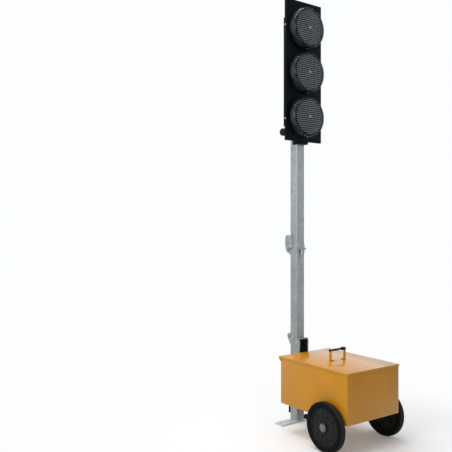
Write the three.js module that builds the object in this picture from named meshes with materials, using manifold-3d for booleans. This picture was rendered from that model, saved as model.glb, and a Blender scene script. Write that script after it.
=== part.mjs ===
// Portable traffic light: a battery box on two wheels carries a folding mast with a three-lens head.
// Millimetres, +Z up, X across the cart, -Y the way the lenses look. The origin is on the ground,
// in the middle of the footprint. Every moving piece is a mesh of its own, built at its resting place.
import * as THREE from 'three';
import { mergeVertices } from 'three/addons/utils/BufferGeometryUtils.js';
import Module from 'manifold-3d';

const wasm = await Module();
wasm.setup();

// ---------------------------------------------------------------- driving dimensions
const GAP = 0.3; // air left between pieces that touch
const ROUND = 28; // facets on a large round piece
const WHEEL_ROUND = 32; // facets on a tyre and its disc
const SMALL_ROUND = 12; // facets on a pin or a bolt

const MAST_Y = 266; // mast axis, behind the box
const TUBE = 60; // square mast tube
const TUBE_WALL = 3;
const LOWER_JOINT_Z = 485; // seam between post and lower mast
const MIDDLE_JOINT_Z = 1035; // seam between lower and upper mast
const UPPER_MAST_TOP_Z = 1735;
const LOWER_PIVOT_Y = -45; // ahead of the mast axis, so the mast folds forward
const MIDDLE_PIVOT_Y = 50; // behind the mast axis, so the upper mast folds back
const CHEEK = 6; // thickness of the hinge plates
const PIVOT_PIN_RADIUS = 6;
const PIN_HOLE_RADIUS = 6.3;

const BOX_HALF_WIDTH = 197.2;
const BOX_FRONT_Y = -328;
const BOX_REAR_Y = 186;
const BOX_BOTTOM_Z = 160;
const BOX_RIM_Z = 419;
const SHEET = 3;
const RIM_RETURN = 12; // inward fold round the mouth of the box
const LID_TOP_Z = 425;
const LID_SKIRT = 12; // at the front and sides
const LID_LIP_DROP = 26; // drip lip at the rear
const LID_LIP_EDGE = 13;
const LID_SHEET = 2.5;
const LID_HALF_WIDTH = 199.5;
const LID_FRONT_Y = -331;
const LID_REAR_Y = 201;
const LID_HINGE_X = 204.5;
const LID_HINGE_Z = 406;
const LID_HINGE_LENGTH = 300;
const LID_HINGE_KNUCKLES = 5;

const HANDLE_HALF_WIDTH = 55;
const HANDLE_HEIGHT = 60;
const HANDLE_Y = -66.5;

const WHEEL_RADIUS = 130;
const WHEEL_WIDTH = 40;
const WHEEL_X = 227;
const AXLE_Y = -203;
const AXLE_RADIUS = 10;

const REST_HALF_WIDTH = 14; // block on the lower mast that the folded upper mast comes down on
const REST_BACK_Y = 65.5;
const REST_Z = [492, 520];
const CATCH_PIVOT = [40, 462]; // Y and Z in the mast's frame
const CATCH_RIVET_RADIUS = 2.5;
const PLUNGER_Y = -38;
const PLUNGER_HOLE_RADIUS = 3.4;
const LIP_THICK = 5;

const FOOT_HALF_LENGTH = 150;
const FOOT_WIDTH = 70;
const FOOT_THICK = 8;

const HEAD_HALF_WIDTH = 139;
const HEAD_BOTTOM_Z = 1670;
const HEAD_TOP_Z = 2496;
const PLATE_FRONT_Y = -60; // from the mast axis
const PLATE_BACK_Y = -44;
const HOUSING_INSET = 90; // the rear housing stops this far from each end of the plate
const HOUSING_HALF_WIDTH = 98;
const HOUSING_BACK_Y = 12;
const CHANNEL_HALF_WIDTH = 34; // slot along the back of the housing, for the mast
const CHANNEL_FRONT_Y = -32;
const LENS_RADIUS = 120;
const LENS_PITCH = 261;
const FIRST_LENS_Z = HEAD_BOTTOM_Z + 142;
const LENS_COUNT = 3;
const LENS_BASE_HEIGHT = 14;
const LENS_HEIGHT = 62;
const CLAMP_WRAP_Z = 1708; // closed part of the sliding clamp, above its open saddle
const CLAMP_TOP_Z = 1747;
const CLAMP_BOTTOM_Z = 1655;
const KNOB_Y = 12;
const KNOB_Z = 1727;

// ---------------------------------------------------------------- finishes
const finish = (color, roughness, metalness) =>
  new THREE.MeshStandardMaterial({ color, roughness, metalness });
const boxPaint = finish(0xd08f2a, 0.35, 0.1);
const zinc = finish(0x9fa9aa, 0.5, 0.8);
const steel = finish(0xb4b8ba, 0.35, 0.9);
const blackPaint = finish(0x14181b, 0.45, 0.2);
const blackPlastic = finish(0x1a1a1b, 0.5, 0);
const rubber = finish(0x222222, 0.85, 0);
const greyPlastic = finish(0x8d8f92, 0.5, 0);
const clearPlastic = finish(0x9a9fa3, 0.1, 0);
const seal = finish(0x2a2a2a, 0.9, 0);

// ---------------------------------------------------------------- solids
// One closed body: merged vertices, with its faces turned outwards.
function closed(geometry) {
  const bare = geometry.index ? geometry.toNonIndexed() : geometry.clone();
  bare.deleteAttribute('normal');
  bare.deleteAttribute('uv');
  const merged = mergeVertices(bare, 1e-4);
  const position = merged.getAttribute('position');
  const kept = [];
  let volume = 0;
  for (let i = 0; i < merged.index.count; i += 3) {
    const [a, b, c] = [0, 1, 2].map((k) => merged.index.getX(i + k));
    if (a === b || b === c || a === c) continue;
    const [pa, pb, pc] = [a, b, c].map((k) => new THREE.Vector3().fromBufferAttribute(position, k));
    volume += pa.dot(pb.cross(pc));
    kept.push(a, b, c);
  }
  merged.setIndex(volume < 0 ? kept.reverse() : kept);
  return merged;
}

function toManifold(geometry) {
  const body = closed(geometry);
  const vertProperties = new Float32Array(body.getAttribute('position').array);
  const triVerts = new Uint32Array(body.index.array);
  return new wasm.Manifold(new wasm.Mesh({ numProp: 3, vertProperties, triVerts }));
}

function fromManifold(manifold) {
  const mesh = manifold.getMesh();
  const geometry = new THREE.BufferGeometry();
  geometry.setAttribute('position', new THREE.Float32BufferAttribute(mesh.vertProperties, 3));
  geometry.setIndex([...mesh.triVerts]);
  return geometry;
}

const join = (...pieces) => fromManifold(pieces.map(toManifold).reduce((sum, next) => sum.add(next)));

const cut = (body, ...tools) =>
  fromManifold(tools.map(toManifold).reduce((left, tool) => left.subtract(tool), toManifold(body)));

// Box between two opposite corners.
function block([x0, y0, z0], [x1, y1, z1]) {
  const geometry = new THREE.BoxGeometry(x1 - x0, y1 - y0, z1 - z0);
  return geometry.translate((x0 + x1) / 2, (y0 + y1) / 2, (z0 + z1) / 2);
}

// Closed outline from a list of points, with any holes given as [u, v, radius].
function outline(points, holes = []) {
  const corners = points.map(([u, v]) => new THREE.Vector2(u, v));
  if (THREE.ShapeUtils.isClockWise(corners)) corners.reverse();
  const shape = new THREE.Shape(corners);
  for (const [u, v, radius] of holes) {
    const hole = new THREE.Path();
    hole.absarc(u, v, radius, 0, 2 * Math.PI, true);
    shape.holes.push(hole);
  }
  return shape;
}

// Outline with a second outline cut out of it.
function ring(outer, inner) {
  const shape = outline(outer);
  shape.holes.push(new THREE.Path(inner.map(([u, v]) => new THREE.Vector2(u, v))));
  return shape;
}

// Points on an arc about (u, v), from one angle to another in degrees.
function arc(u, v, radius, from, to, steps = 8) {
  return Array.from({ length: steps + 1 }, (_, i) => {
    const angle = THREE.MathUtils.degToRad(from + ((to - from) * i) / steps);
    return [u + radius * Math.cos(angle), v + radius * Math.sin(angle)];
  });
}

const extrude = (shape, depth) =>
  new THREE.ExtrudeGeometry(shape, { depth, bevelEnabled: false, curveSegments: SMALL_ROUND / 2 });

// Outline drawn in Y and Z, carried from x0 to x1.
function alongX(shape, x0, x1) {
  const turn = new THREE.Matrix4().makeBasis(
    new THREE.Vector3(0, 1, 0),
    new THREE.Vector3(0, 0, 1),
    new THREE.Vector3(1, 0, 0),
  );
  return extrude(shape, x1 - x0).applyMatrix4(turn).translate(x0, 0, 0);
}

// Outline drawn in X and Z, carried from y0 to y1.
const alongY = (shape, y0, y1) => extrude(shape, y1 - y0).rotateX(Math.PI / 2).translate(0, y1, 0);

// Outline drawn in X and Y, carried from z0 to z1.
const alongZ = (shape, z0, z1) => extrude(shape, z1 - z0).translate(0, 0, z0);

function rodX(radius, x0, x1, [y, z], facets = SMALL_ROUND) {
  const geometry = new THREE.CylinderGeometry(radius, radius, x1 - x0, facets).rotateZ(Math.PI / 2);
  return geometry.translate((x0 + x1) / 2, y, z);
}

function rodY(radius, y0, y1, [x, z], facets = SMALL_ROUND) {
  const geometry = new THREE.CylinderGeometry(radius, radius, y1 - y0, facets);
  return geometry.translate(x, (y0 + y1) / 2, z);
}

function rodZ(radius, z0, z1, [x, y], facets = SMALL_ROUND) {
  const geometry = new THREE.CylinderGeometry(radius, radius, z1 - z0, facets).rotateX(Math.PI / 2);
  return geometry.translate(x, y, (z0 + z1) / 2);
}

// Profile of [radius, height] points turned about its axis, which then points along X, -Y or Z.
function turned(profile, axis, facets = ROUND) {
  const points = profile.map(([radius, height]) => new THREE.Vector2(radius, height));
  const geometry = closed(new THREE.LatheGeometry(points, facets));
  if (axis === 'x') return geometry.rotateZ(-Math.PI / 2);
  if (axis === '-y') return geometry.rotateX(Math.PI);
  return geometry.rotateX(Math.PI / 2);
}

// Square tube from z0 to z1, open at both ends.
function squareTube(z0, z1) {
  const corners = (half) => [[-half, -half], [half, -half], [half, half], [-half, half]];
  return alongZ(ring(corners(TUBE / 2), corners(TUBE / 2 - TUBE_WALL)), z0, z1);
}

function piece(parent, name, geometry, material) {
  const mesh = new THREE.Mesh(closed(geometry), material);
  mesh.name = name;
  parent.add(mesh);
  return mesh;
}

const part = new THREE.Group();
const mast = new THREE.Group();
mast.position.set(0, MAST_Y, 0);
part.add(mast);

// ---------------------------------------------------------------- battery box
function buildBatteryBox() {
  const w = BOX_HALF_WIDTH;
  const shell = block([-w, BOX_FRONT_Y, BOX_BOTTOM_Z], [w, BOX_REAR_Y, BOX_RIM_Z]);
  const room = block(
    [-w + SHEET, BOX_FRONT_Y + SHEET, BOX_BOTTOM_Z + SHEET],
    [w - SHEET, BOX_REAR_Y - SHEET, BOX_RIM_Z - SHEET],
  );
  const mouth = block(
    [-w + RIM_RETURN, BOX_FRONT_Y + RIM_RETURN, BOX_RIM_Z - 2 * SHEET],
    [w - RIM_RETURN, BOX_REAR_Y - RIM_RETURN, BOX_RIM_Z + 1],
  );
  piece(part, 'battery_box', cut(shell, room, mouth), boxPaint);
}

// Strip of foam on the folded rim, under the lid.
function buildLidSeal() {
  const [outside, inside] = [3, 9];
  const corners = (inset) => [
    [-BOX_HALF_WIDTH + inset, BOX_FRONT_Y + inset],
    [BOX_HALF_WIDTH - inset, BOX_FRONT_Y + inset],
    [BOX_HALF_WIDTH - inset, BOX_REAR_Y - inset],
    [-BOX_HALF_WIDTH + inset, BOX_REAR_Y - inset],
  ];
  const shape = ring(corners(outside), corners(inside));
  piece(part, 'lid_seal', alongZ(shape, BOX_RIM_Z + GAP, LID_TOP_Z - LID_SHEET - GAP), seal);
}

// A shallow skirt runs round the front and sides. At the rear the top runs on past the box as a
// hollow drip lip, which slopes back to the wall at its foot.
function buildLid() {
  const bottom = LID_TOP_Z - LID_SKIRT;
  const skin = 2;
  const wall = BOX_REAR_Y + 2 * GAP;
  const [lipBottom, lipEdge] = [LID_TOP_Z - LID_LIP_DROP, LID_TOP_Z - LID_LIP_EDGE];
  const outside = outline([
    [LID_FRONT_Y, bottom],
    [wall, bottom],
    [wall, lipBottom],
    [wall + 3, lipBottom],
    [LID_REAR_Y, lipEdge],
    [LID_REAR_Y, LID_TOP_Z],
    [LID_FRONT_Y, LID_TOP_Z],
  ]);
  const inside = outline([
    [LID_FRONT_Y + skin, bottom - 1],
    [wall - 1, bottom - 1],
    [wall - 1, lipBottom + skin],
    [wall + 2, lipBottom + skin],
    [LID_REAR_Y - skin, lipEdge + skin],
    [LID_REAR_Y - skin, LID_TOP_Z - LID_SHEET],
    [LID_FRONT_Y + skin, LID_TOP_Z - LID_SHEET],
  ]);
  const shell = alongX(outside, -LID_HALF_WIDTH, LID_HALF_WIDTH);
  const room = alongX(inside, -LID_HALF_WIDTH + skin, LID_HALF_WIDTH - skin);
  piece(part, 'lid', cut(shell, room), boxPaint);
}

// Piano hinge on the side away from the handle's user: odd knuckles on the box, even ones on the lid.
function buildLidHinge() {
  const knuckle = 4.5;
  const bore = 2.4;
  const thick = 2.4;
  const pitch = LID_HINGE_LENGTH / LID_HINGE_KNUCKLES;
  const start = HANDLE_Y - LID_HINGE_LENGTH / 2;
  const knuckles = [[], []];
  for (let i = 0; i < LID_HINGE_KNUCKLES; i += 1) {
    const [y0, y1] = [start + i * pitch + GAP, start + (i + 1) * pitch - GAP];
    const onBox = i % 2 === 0;
    const [z0, z1] = onBox ? [-knuckle, -1.5] : [1.5, 6.5];
    const barrel = rodY(knuckle, y0, y1, [LID_HINGE_X, LID_HINGE_Z]);
    const wall = onBox ? BOX_HALF_WIDTH : LID_HALF_WIDTH;
    const bridge = block([wall + GAP, y0, LID_HINGE_Z + z0], [LID_HINGE_X, y1, LID_HINGE_Z + z1]);
    knuckles[onBox ? 0 : 1].push(barrel, bridge);
  }
  const [y0, y1] = [start, start + LID_HINGE_LENGTH];
  const boxWall = BOX_HALF_WIDTH + GAP;
  const lidWall = LID_HALF_WIDTH + GAP;
  const boxLeaf = block([boxWall, y0, LID_HINGE_Z - 33], [boxWall + thick, y1, LID_HINGE_Z - 1.5]);
  const lidLeaf = block([lidWall, y0, LID_HINGE_Z + 5.5], [lidWall + thick, y1, LID_TOP_Z - 3]);
  const hole = rodY(bore, y0 - 1, y1 + 1, [LID_HINGE_X, LID_HINGE_Z], 12);
  piece(part, 'lid_hinge_leaf_box', cut(join(boxLeaf, ...knuckles[0]), hole), zinc);
  piece(part, 'lid_hinge_leaf_lid', cut(join(lidLeaf, ...knuckles[1]), hole), zinc);
  piece(part, 'lid_hinge_pin', rodY(bore - GAP, y0 - 2, y1 + 2, [LID_HINGE_X, LID_HINGE_Z], 12), steel);
}

// Two flat uprights carry a slim round grip that swells next to one of them.
function buildHandle() {
  const base = LID_TOP_Z + GAP;
  const gripZ = LID_TOP_Z + HANDLE_HEIGHT - 1;
  const [thick, wide, foot] = [4, 15, 22];
  for (const side of [-1, 1]) {
    const x = side * HANDLE_HALF_WIDTH;
    const strip = outline(
      [
        [HANDLE_Y - wide / 2, base],
        [HANDLE_Y + wide / 2, base],
        ...arc(HANDLE_Y, gripZ, wide / 2, 0, 180, 6),
      ],
      [[HANDLE_Y, gripZ, 5.3]],
    );
    const upright = alongX(strip, x - thick / 2, x + thick / 2);
    const [near, far] = side < 0 ? [x, x + foot] : [x - foot, x];
    const pad = block([near, HANDLE_Y - wide / 2, base], [far, HANDLE_Y + wide / 2, base + thick]);
    piece(part, `handle_upright_${side < 0 ? 'left' : 'right'}`, join(upright, pad), boxPaint);
  }
  const inner = HANDLE_HALF_WIDTH - thick / 2 - GAP;
  const outer = HANDLE_HALF_WIDTH + thick / 2 + GAP;
  const profile = [
    [0, -outer - 4], [7, -outer - 4], [7, -outer], [5, -outer], [5, -inner], [6, -inner], [6, inner - 30],
    [9.5, inner - 22], [9.5, inner - 4], [7, inner], [5, inner], [5, outer], [7, outer], [7, outer + 4], [0, outer + 4],
  ];
  const grip = turned(profile, 'x', SMALL_ROUND).translate(0, HANDLE_Y, gripZ);
  piece(part, 'handle_grip', grip, blackPlastic);
}

function buildBatteries() {
  const floor = BOX_BOTTOM_Z + SHEET + GAP;
  const [halfLength, width, height] = [165, 172, 222];
  const starts = [BOX_FRONT_Y + 16, BOX_FRONT_Y + 16 + width + 16];
  starts.forEach((y, i) => {
    const body = block([-halfLength, y, floor], [halfLength, y + width, floor + height]);
    const top = floor + height;
    const posts = [-1, 1].map((side) => rodZ(9, top - 1, top + 14, [side * 125, y + 30]));
    piece(part, `battery_${i + 1}`, join(body, ...posts), blackPlastic);
  });
  const y = starts[1] + width + 20;
  const caseBody = block([-140, y, floor], [140, y + 70, floor + 130]);
  const dials = [-60, 0, 60].map((x) => rodZ(12, floor + 129, floor + 140, [x, y + 35]));
  piece(part, 'controller', join(caseBody, ...dials), greyPlastic);
}

// Gland in the rear wall for the mast's wiring.
function buildCableGland() {
  const at = [110, 300];
  const wall = BOX_REAR_Y + GAP;
  const nut = rodY(13, wall, wall + 8, at, 6);
  const dome = rodY(9.5, wall + 7, wall + 20, at);
  const bore = rodY(5, wall + 4, wall + 21, at);
  piece(part, 'cable_gland', cut(join(nut, dome), bore), blackPlastic);
}

// ---------------------------------------------------------------- chassis
function buildChassis() {
  const axleZ = WHEEL_RADIUS;
  const under = BOX_BOTTOM_Z - GAP;
  const reach = WHEEL_X + WHEEL_WIDTH / 2 - 2;
  piece(part, 'axle', rodX(AXLE_RADIUS, -reach, reach, [AXLE_Y, axleZ], 20), steel);
  for (const side of [-1, 1]) {
    const plate = outline(
      [
        [AXLE_Y - 45, under],
        [AXLE_Y - 45, under - 6],
        ...arc(AXLE_Y, axleZ, 18, 180, 360, 8),
        [AXLE_Y + 45, under - 6],
        [AXLE_Y + 45, under],
      ],
      [[AXLE_Y, axleZ, AXLE_RADIUS + 0.4]],
    );
    const x = side * 150;
    piece(part, `axle_hanger_${side < 0 ? 'left' : 'right'}`, alongX(plate, x - 15, x + 15), blackPaint);
  }
  const half = 12.5;
  const [barBottom, barTop] = [34, 59];
  const bar = block([-half, -110, barBottom], [half, 196, barTop]);
  const risers = [-70, 40].map((y) => block([-half, y - half, barTop - 1], [half, y + half, under]));
  piece(part, 'draw_bar', join(bar, ...risers), blackPaint);
}

// Two channels hold the post to the rear wall of the box.
function buildRearBrackets() {
  const profile = (z) => [
    [-25, z], [-21, z], [-21, z + 36], [21, z + 36], [21, z], [25, z], [25, z + 40], [-25, z + 40],
  ];
  const heights = { lower: 180, upper: 350 };
  for (const [name, z] of Object.entries(heights)) {
    const channel = alongY(outline(profile(z)), BOX_REAR_Y + GAP, MAST_Y - TUBE / 2 - GAP);
    piece(part, `rear_bracket_${name}`, channel, zinc);
  }
}

// ---------------------------------------------------------------- post, in the mast's frame
function buildPost() {
  const half = TUBE / 2;
  const chamfer = 8;
  const [l, w] = [FOOT_HALF_LENGTH, FOOT_WIDTH / 2];
  const foot = outline(
    [
      [-l, -w + chamfer], [-l + chamfer, -w], [l - chamfer, -w], [l, -w + chamfer],
      [l, w - chamfer], [l - chamfer, w], [-l + chamfer, w], [-l, w - chamfer],
    ],
    [[-128, 0, 7], [128, 0, 7]],
  );
  piece(mast, 'foot_plate', alongZ(foot, 0, FOOT_THICK), zinc);
  piece(mast, 'post', squareTube(FOOT_THICK + GAP, LOWER_JOINT_Z - GAP), zinc);
  piece(mast, 'post_bumper', block([-half, half + GAP, 45], [half, half + 15, 84]), rubber);
}

// Cheeks either side of the tube with a web between them, and a rubber stop in the pocket.
function buildLowerHinge() {
  const half = TUBE / 2;
  const inner = half + GAP;
  const [y, z] = [LOWER_PIVOT_Y, LOWER_JOINT_Z];
  const bottom = 405;
  const cheek = outline(
    [[-57, bottom], ...arc(y, z, 15, 180, 90, 6), [-half, z + 15], [-8, z - 7], [-8, bottom]],
    [[y, z, PIN_HOLE_RADIUS]],
  );
  const cheeks = [-inner - CHEEK, inner].map((x) => alongX(cheek, x, x + CHEEK));
  const web = block([-inner - 3, -half - GAP - 3, bottom], [inner + 3, -half - GAP, z - 17]);
  piece(mast, 'lower_hinge_bracket', join(...cheeks, web), zinc);

  const buffer = block([-half, -56, bottom + 2], [half, -half - 2 * GAP - 3, z - 18]);
  piece(mast, 'hinge_buffer', buffer, rubber);
  piece(mast, 'lower_hinge_pin', hingePin(inner + CHEEK).translate(0, y, z), steel);
}

// Headed pin across both cheeks of a hinge, whose outer faces are this far from the middle.
function hingePin(reach) {
  const [start, end] = [reach + GAP, reach + GAP + 5];
  const profile = [
    [0, -end], [9, -end], [9, -start], [PIVOT_PIN_RADIUS, -start],
    [PIVOT_PIN_RADIUS, start], [9, start], [9, end], [0, end],
  ];
  return turned(profile, 'x', 16);
}

// Safety catch on the back of the post: its two plates stand either side of the rest block, with a
// cross bar behind it, and swing back and down.
function buildSafetyCatch() {
  const half = TUBE / 2;
  const [y, z] = CATCH_PIVOT;
  const [earInner, plateInner, plateOuter] = [11, 14.6, 18];
  const boss = 6;
  const plate = block([-20, half + GAP, 436], [20, half + GAP + 3, 476]);
  const ear = outline([[half + 1, z - 10], ...arc(y, z, boss, -90, 90, 6), [half + 1, z + 10]]);
  const ears = [-earInner - 3, earInner].map((x) => alongX(ear, x, x + 3));
  const rivet = rodX(CATCH_RIVET_RADIUS, -plateOuter + 0.5, plateOuter - 0.5, CATCH_PIVOT);
  piece(mast, 'catch_base', join(plate, ...ears, rivet), zinc);

  const barFront = REST_BACK_Y + 0.5;
  const barBack = barFront + 3;
  const barTop = REST_Z[1] - 6;
  const side = outline([
    ...arc(y, z, boss, 135, 315, 6), [barBack, barTop - 16], [barBack, barTop], [barBack - 6, barTop],
  ]);
  const sides = [-plateOuter, plateInner].map((x) => alongX(side, x, x + plateOuter - plateInner));
  const bar = block([-plateOuter, barFront, barTop - 14], [plateOuter, barBack, barTop]);
  const hole = rodX(CATCH_RIVET_RADIUS + GAP, -plateOuter - 1, plateOuter + 1, CATCH_PIVOT);
  piece(mast, 'safety_catch', cut(join(...sides, bar), hole), zinc);
}

// ---------------------------------------------------------------- lower mast
function buildLowerMast() {
  const half = TUBE / 2;
  const [y, z] = [LOWER_PIVOT_Y, LOWER_JOINT_Z];
  piece(mast, 'lower_mast', squareTube(z + GAP, MIDDLE_JOINT_Z - GAP), zinc);

  const front = y - 14;
  const lug = outline(
    [[-half - GAP, z + 15], [front, z + 15], ...arc(y, z, 14, 180, 360, 8), [-half - GAP, z + 2]],
    [[y, z, PIN_HOLE_RADIUS]],
  );
  piece(mast, 'lower_hinge_lug', alongX(lug, -half, half), blackPaint);
  const cap = block([-half - 6, front - 1, z + 15 + GAP], [half + 6, -half - GAP, z + 19]);
  piece(mast, 'lower_hinge_cap', cap, zinc);

  const [restBottom, restTop] = REST_Z;
  const rest = block([-REST_HALF_WIDTH, half + GAP, restBottom], [REST_HALF_WIDTH, REST_BACK_Y, restTop]);
  piece(mast, 'rest_block', rest, zinc);

  const end = half - TUBE_WALL - GAP;
  const plug = block([-end, -end, MIDDLE_JOINT_Z - 8], [end, end, MIDDLE_JOINT_Z - 1]);
  piece(mast, 'lower_mast_plug', plug, blackPlastic);
}

// Angle on the front of a tube, with a hole for the lock plunger. reach is up or down from the seam.
function buildLip(name, seam, reach) {
  const half = TUBE / 2;
  const levels = [seam, seam + reach * LIP_THICK].sort((a, b) => a - b);
  const legs = [seam, seam + reach * 27].sort((a, b) => a - b);
  const shelf = block([-half - 2, -44, levels[0]], [half + 2, -half - GAP, levels[1]]);
  const leg = block([-half, -half - GAP - 1.8, legs[0]], [half, -half - GAP, legs[1]]);
  const hole = rodZ(PLUNGER_HOLE_RADIUS, levels[0] - 1, levels[1] + 1, [0, PLUNGER_Y], 12);
  piece(mast, name, cut(join(shelf, leg), hole), zinc);
}

function buildMiddleHinge() {
  const half = TUBE / 2;
  const inner = half + GAP;
  const [y, z] = [MIDDLE_PIVOT_Y, MIDDLE_JOINT_Z];
  const lug = outline(
    [
      [inner, z - 38],
      [y + 15, z - 18],
      ...arc(y, z, 15, 0, 180, 8),
      [y - 15, z - 1],
      [inner, z - 1],
    ],
    [[y, z, PIN_HOLE_RADIUS]],
  );
  piece(mast, 'middle_hinge_lug', alongX(lug, -half, half), zinc);

  piece(mast, 'middle_hinge_pin', hingePin(inner + CHEEK).translate(0, y, z), steel);

  const cheek = outline(
    [
      [8, z + 10], ...arc(y, z, 16, 190, 350, 8), [69, z + 26],
      [69, z + 66], [58, z + 80], [18, z + 80], [8, z + 72],
    ],
    [[y, z, PIN_HOLE_RADIUS]],
  );
  piece(mast, 'middle_cheek_left', alongX(cheek, -inner - CHEEK, -inner), zinc);
  piece(mast, 'middle_cheek_right', alongX(cheek, inner, inner + CHEEK), zinc);
}

// Spring plunger under the lower lip: its pin locks both lips, and a pull ring hangs below it.
function buildPlunger() {
  const z = MIDDLE_JOINT_Z;
  const lipBottom = z - GAP - LIP_THICK;
  const barrel = rodZ(5.4, lipBottom - 24, lipBottom - GAP, [0, PLUNGER_Y]);
  const bore = rodZ(PLUNGER_HOLE_RADIUS, lipBottom - 25, lipBottom, [0, PLUNGER_Y], 12);
  piece(mast, 'plunger_barrel', cut(barrel, bore), steel);
  const ringRadius = 11;
  const stemBottom = lipBottom - 40;
  const pin = rodZ(3, stemBottom, z + 3, [0, PLUNGER_Y], 12);
  const pull = new THREE.TorusGeometry(ringRadius, 1.8, 6, 14).rotateX(Math.PI / 2);
  const eye = pull.translate(0, PLUNGER_Y, stemBottom - ringRadius + 1.5);
  piece(mast, 'plunger_pin', join(pin, eye), steel);
}

// ---------------------------------------------------------------- upper mast
function buildUpperMast() {
  const half = TUBE / 2;
  piece(mast, 'upper_mast', squareTube(MIDDLE_JOINT_Z + GAP, UPPER_MAST_TOP_Z), zinc);
  const end = half - TUBE_WALL - GAP;
  const plug = block([-end, -end, MIDDLE_JOINT_Z + 1], [end, end, MIDDLE_JOINT_Z + 8]);
  piece(mast, 'upper_mast_plug', plug, blackPlastic);
}

// ---------------------------------------------------------------- signal head
function buildHead() {
  const w = HEAD_HALF_WIDTH;
  const skin = 3;
  const tray = block([-w, PLATE_FRONT_Y, HEAD_BOTTOM_Z], [w, PLATE_BACK_Y, HEAD_TOP_Z]);
  const recess = block(
    [-w + skin, PLATE_FRONT_Y + skin, HEAD_BOTTOM_Z + skin],
    [w - skin, PLATE_BACK_Y + 1, HEAD_TOP_Z - skin],
  );
  piece(mast, 'backing_plate', cut(tray, recess), blackPaint);

  const h = HOUSING_HALF_WIDTH;
  const c = CHANNEL_HALF_WIDTH;
  const front = PLATE_BACK_Y + GAP;
  const [z0, z1] = [HEAD_BOTTOM_Z + HOUSING_INSET, HEAD_TOP_Z - HOUSING_INSET];
  const body = outline([
    [-h, front], [h, front], [h, HOUSING_BACK_Y], [c, HOUSING_BACK_Y],
    [c, CHANNEL_FRONT_Y], [-c, CHANNEL_FRONT_Y], [-c, HOUSING_BACK_Y], [-h, HOUSING_BACK_Y],
  ]);
  const chambers = [[-h + skin, -c - skin], [c + skin, h - skin]].map(([x0, x1]) =>
    block([x0, front - 1, z0 + skin], [x1, HOUSING_BACK_Y - skin, z1 - skin]),
  );
  piece(mast, 'housing', cut(alongZ(body, z0, z1), ...chambers), blackPaint);
}

// Clamp that slides on the upper mast: closed round the tube above, an open saddle below.
function buildSlidingClamp() {
  const front = PLATE_BACK_Y + GAP;
  const wrap = block([-38, front, CLAMP_WRAP_Z], [38, 38, CLAMP_TOP_Z]);
  const saddle = block([-36, front, CLAMP_BOTTOM_Z], [36, 2, CLAMP_WRAP_Z + 1]);
  const nose = block([-33, PLATE_FRONT_Y + 1, CLAMP_BOTTOM_Z], [33, front + 1, HEAD_BOTTOM_Z - GAP]);
  const slot = TUBE / 2 + 0.6;
  const tunnel = block([-slot, -slot, CLAMP_BOTTOM_Z - 1], [slot, slot, CLAMP_TOP_Z + 1]);
  const stud = rodX(5.2, -40, -slot + 1, [KNOB_Y, KNOB_Z]);
  piece(mast, 'sliding_clamp', cut(join(wrap, saddle, nose), tunnel, stud), blackPaint);

  const knob = [
    [0, 0], [21, 0], [23, 4], [23, 22], [19, 30], [10, 32], [10, 46], [4.8, 46], [4.8, 82], [0, 82],
  ];
  const turn = turned(knob, 'x', 18).translate(-113, KNOB_Y, KNOB_Z);
  piece(mast, 'clamp_knob', turn, blackPlastic);
}

function buildLens(index) {
  const z = FIRST_LENS_Z + index * LENS_PITCH;
  const y = PLATE_FRONT_Y - GAP;
  const rim = LENS_BASE_HEIGHT;
  const base = [[0, 0], [LENS_RADIUS, 0], [LENS_RADIUS, rim], [112, rim], [112, 5], [0, 5]];
  piece(mast, `lens_base_${index + 1}`, turned(base, '-y').translate(0, y, z), blackPlastic);
  const wall = 3;
  const r = LENS_RADIUS - 1;
  const dome = (radius, height, steps) => [
    [radius, rim + GAP],
    ...arc(radius - 20, height - 24, 20, 0, 90, steps),
    [0, height],
  ];
  const shell = [...dome(r, LENS_HEIGHT, 3), ...dome(r - wall, LENS_HEIGHT - wall, 2).reverse()];
  const cover = turned([...shell, shell[0]], '-y').translate(0, y, z);
  piece(mast, `lens_${index + 1}`, cover, clearPlastic);
}

// ---------------------------------------------------------------- wheels
function buildWheel(side) {
  const name = side < 0 ? 'left' : 'right';
  const wheel = new THREE.Group();
  wheel.position.set(side * WHEEL_X, AXLE_Y, WHEEL_RADIUS);
  wheel.rotation.z = side < 0 ? Math.PI : 0;
  part.add(wheel);
  const half = WHEEL_WIDTH / 2;
  const rubberInner = 96;
  const shoulder = (side) => [
    [rubberInner, side * (half - 3)], [WHEEL_RADIUS - 14, side * half], [WHEEL_RADIUS - 6, side * (half - 2)],
    [WHEEL_RADIUS - 1.5, side * (half - 6)], [WHEEL_RADIUS, side * (half - 12)],
  ];
  const tyre = [...shoulder(-1), ...shoulder(1).reverse(), shoulder(-1)[0]];
  piece(wheel, `tyre_${name}`, turned(tyre, 'x', WHEEL_ROUND), rubber);
  const bore = AXLE_RADIUS + 0.4;
  const lip = rubberInner - GAP;
  const rim = [
    [bore, -half], [26, -half], [26, -6], [86, -6], [88, -half + 5], [lip, -half + 5],
    [lip, half - 5], [88, half - 5], [86, 11], [28, 13], [26, half - 4], [bore, half - 4], [bore, -half],
  ];
  piece(wheel, `wheel_disc_${name}`, turned(rim, 'x', WHEEL_ROUND), blackPlastic);
  const cap = [[0, half - 1.5], [22, half - 1.5], [22, half + 1], [17, half + 4], [0, half + 4]];
  piece(wheel, `hub_cap_${name}`, turned(cap, 'x', 16), greyPlastic);
}

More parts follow.
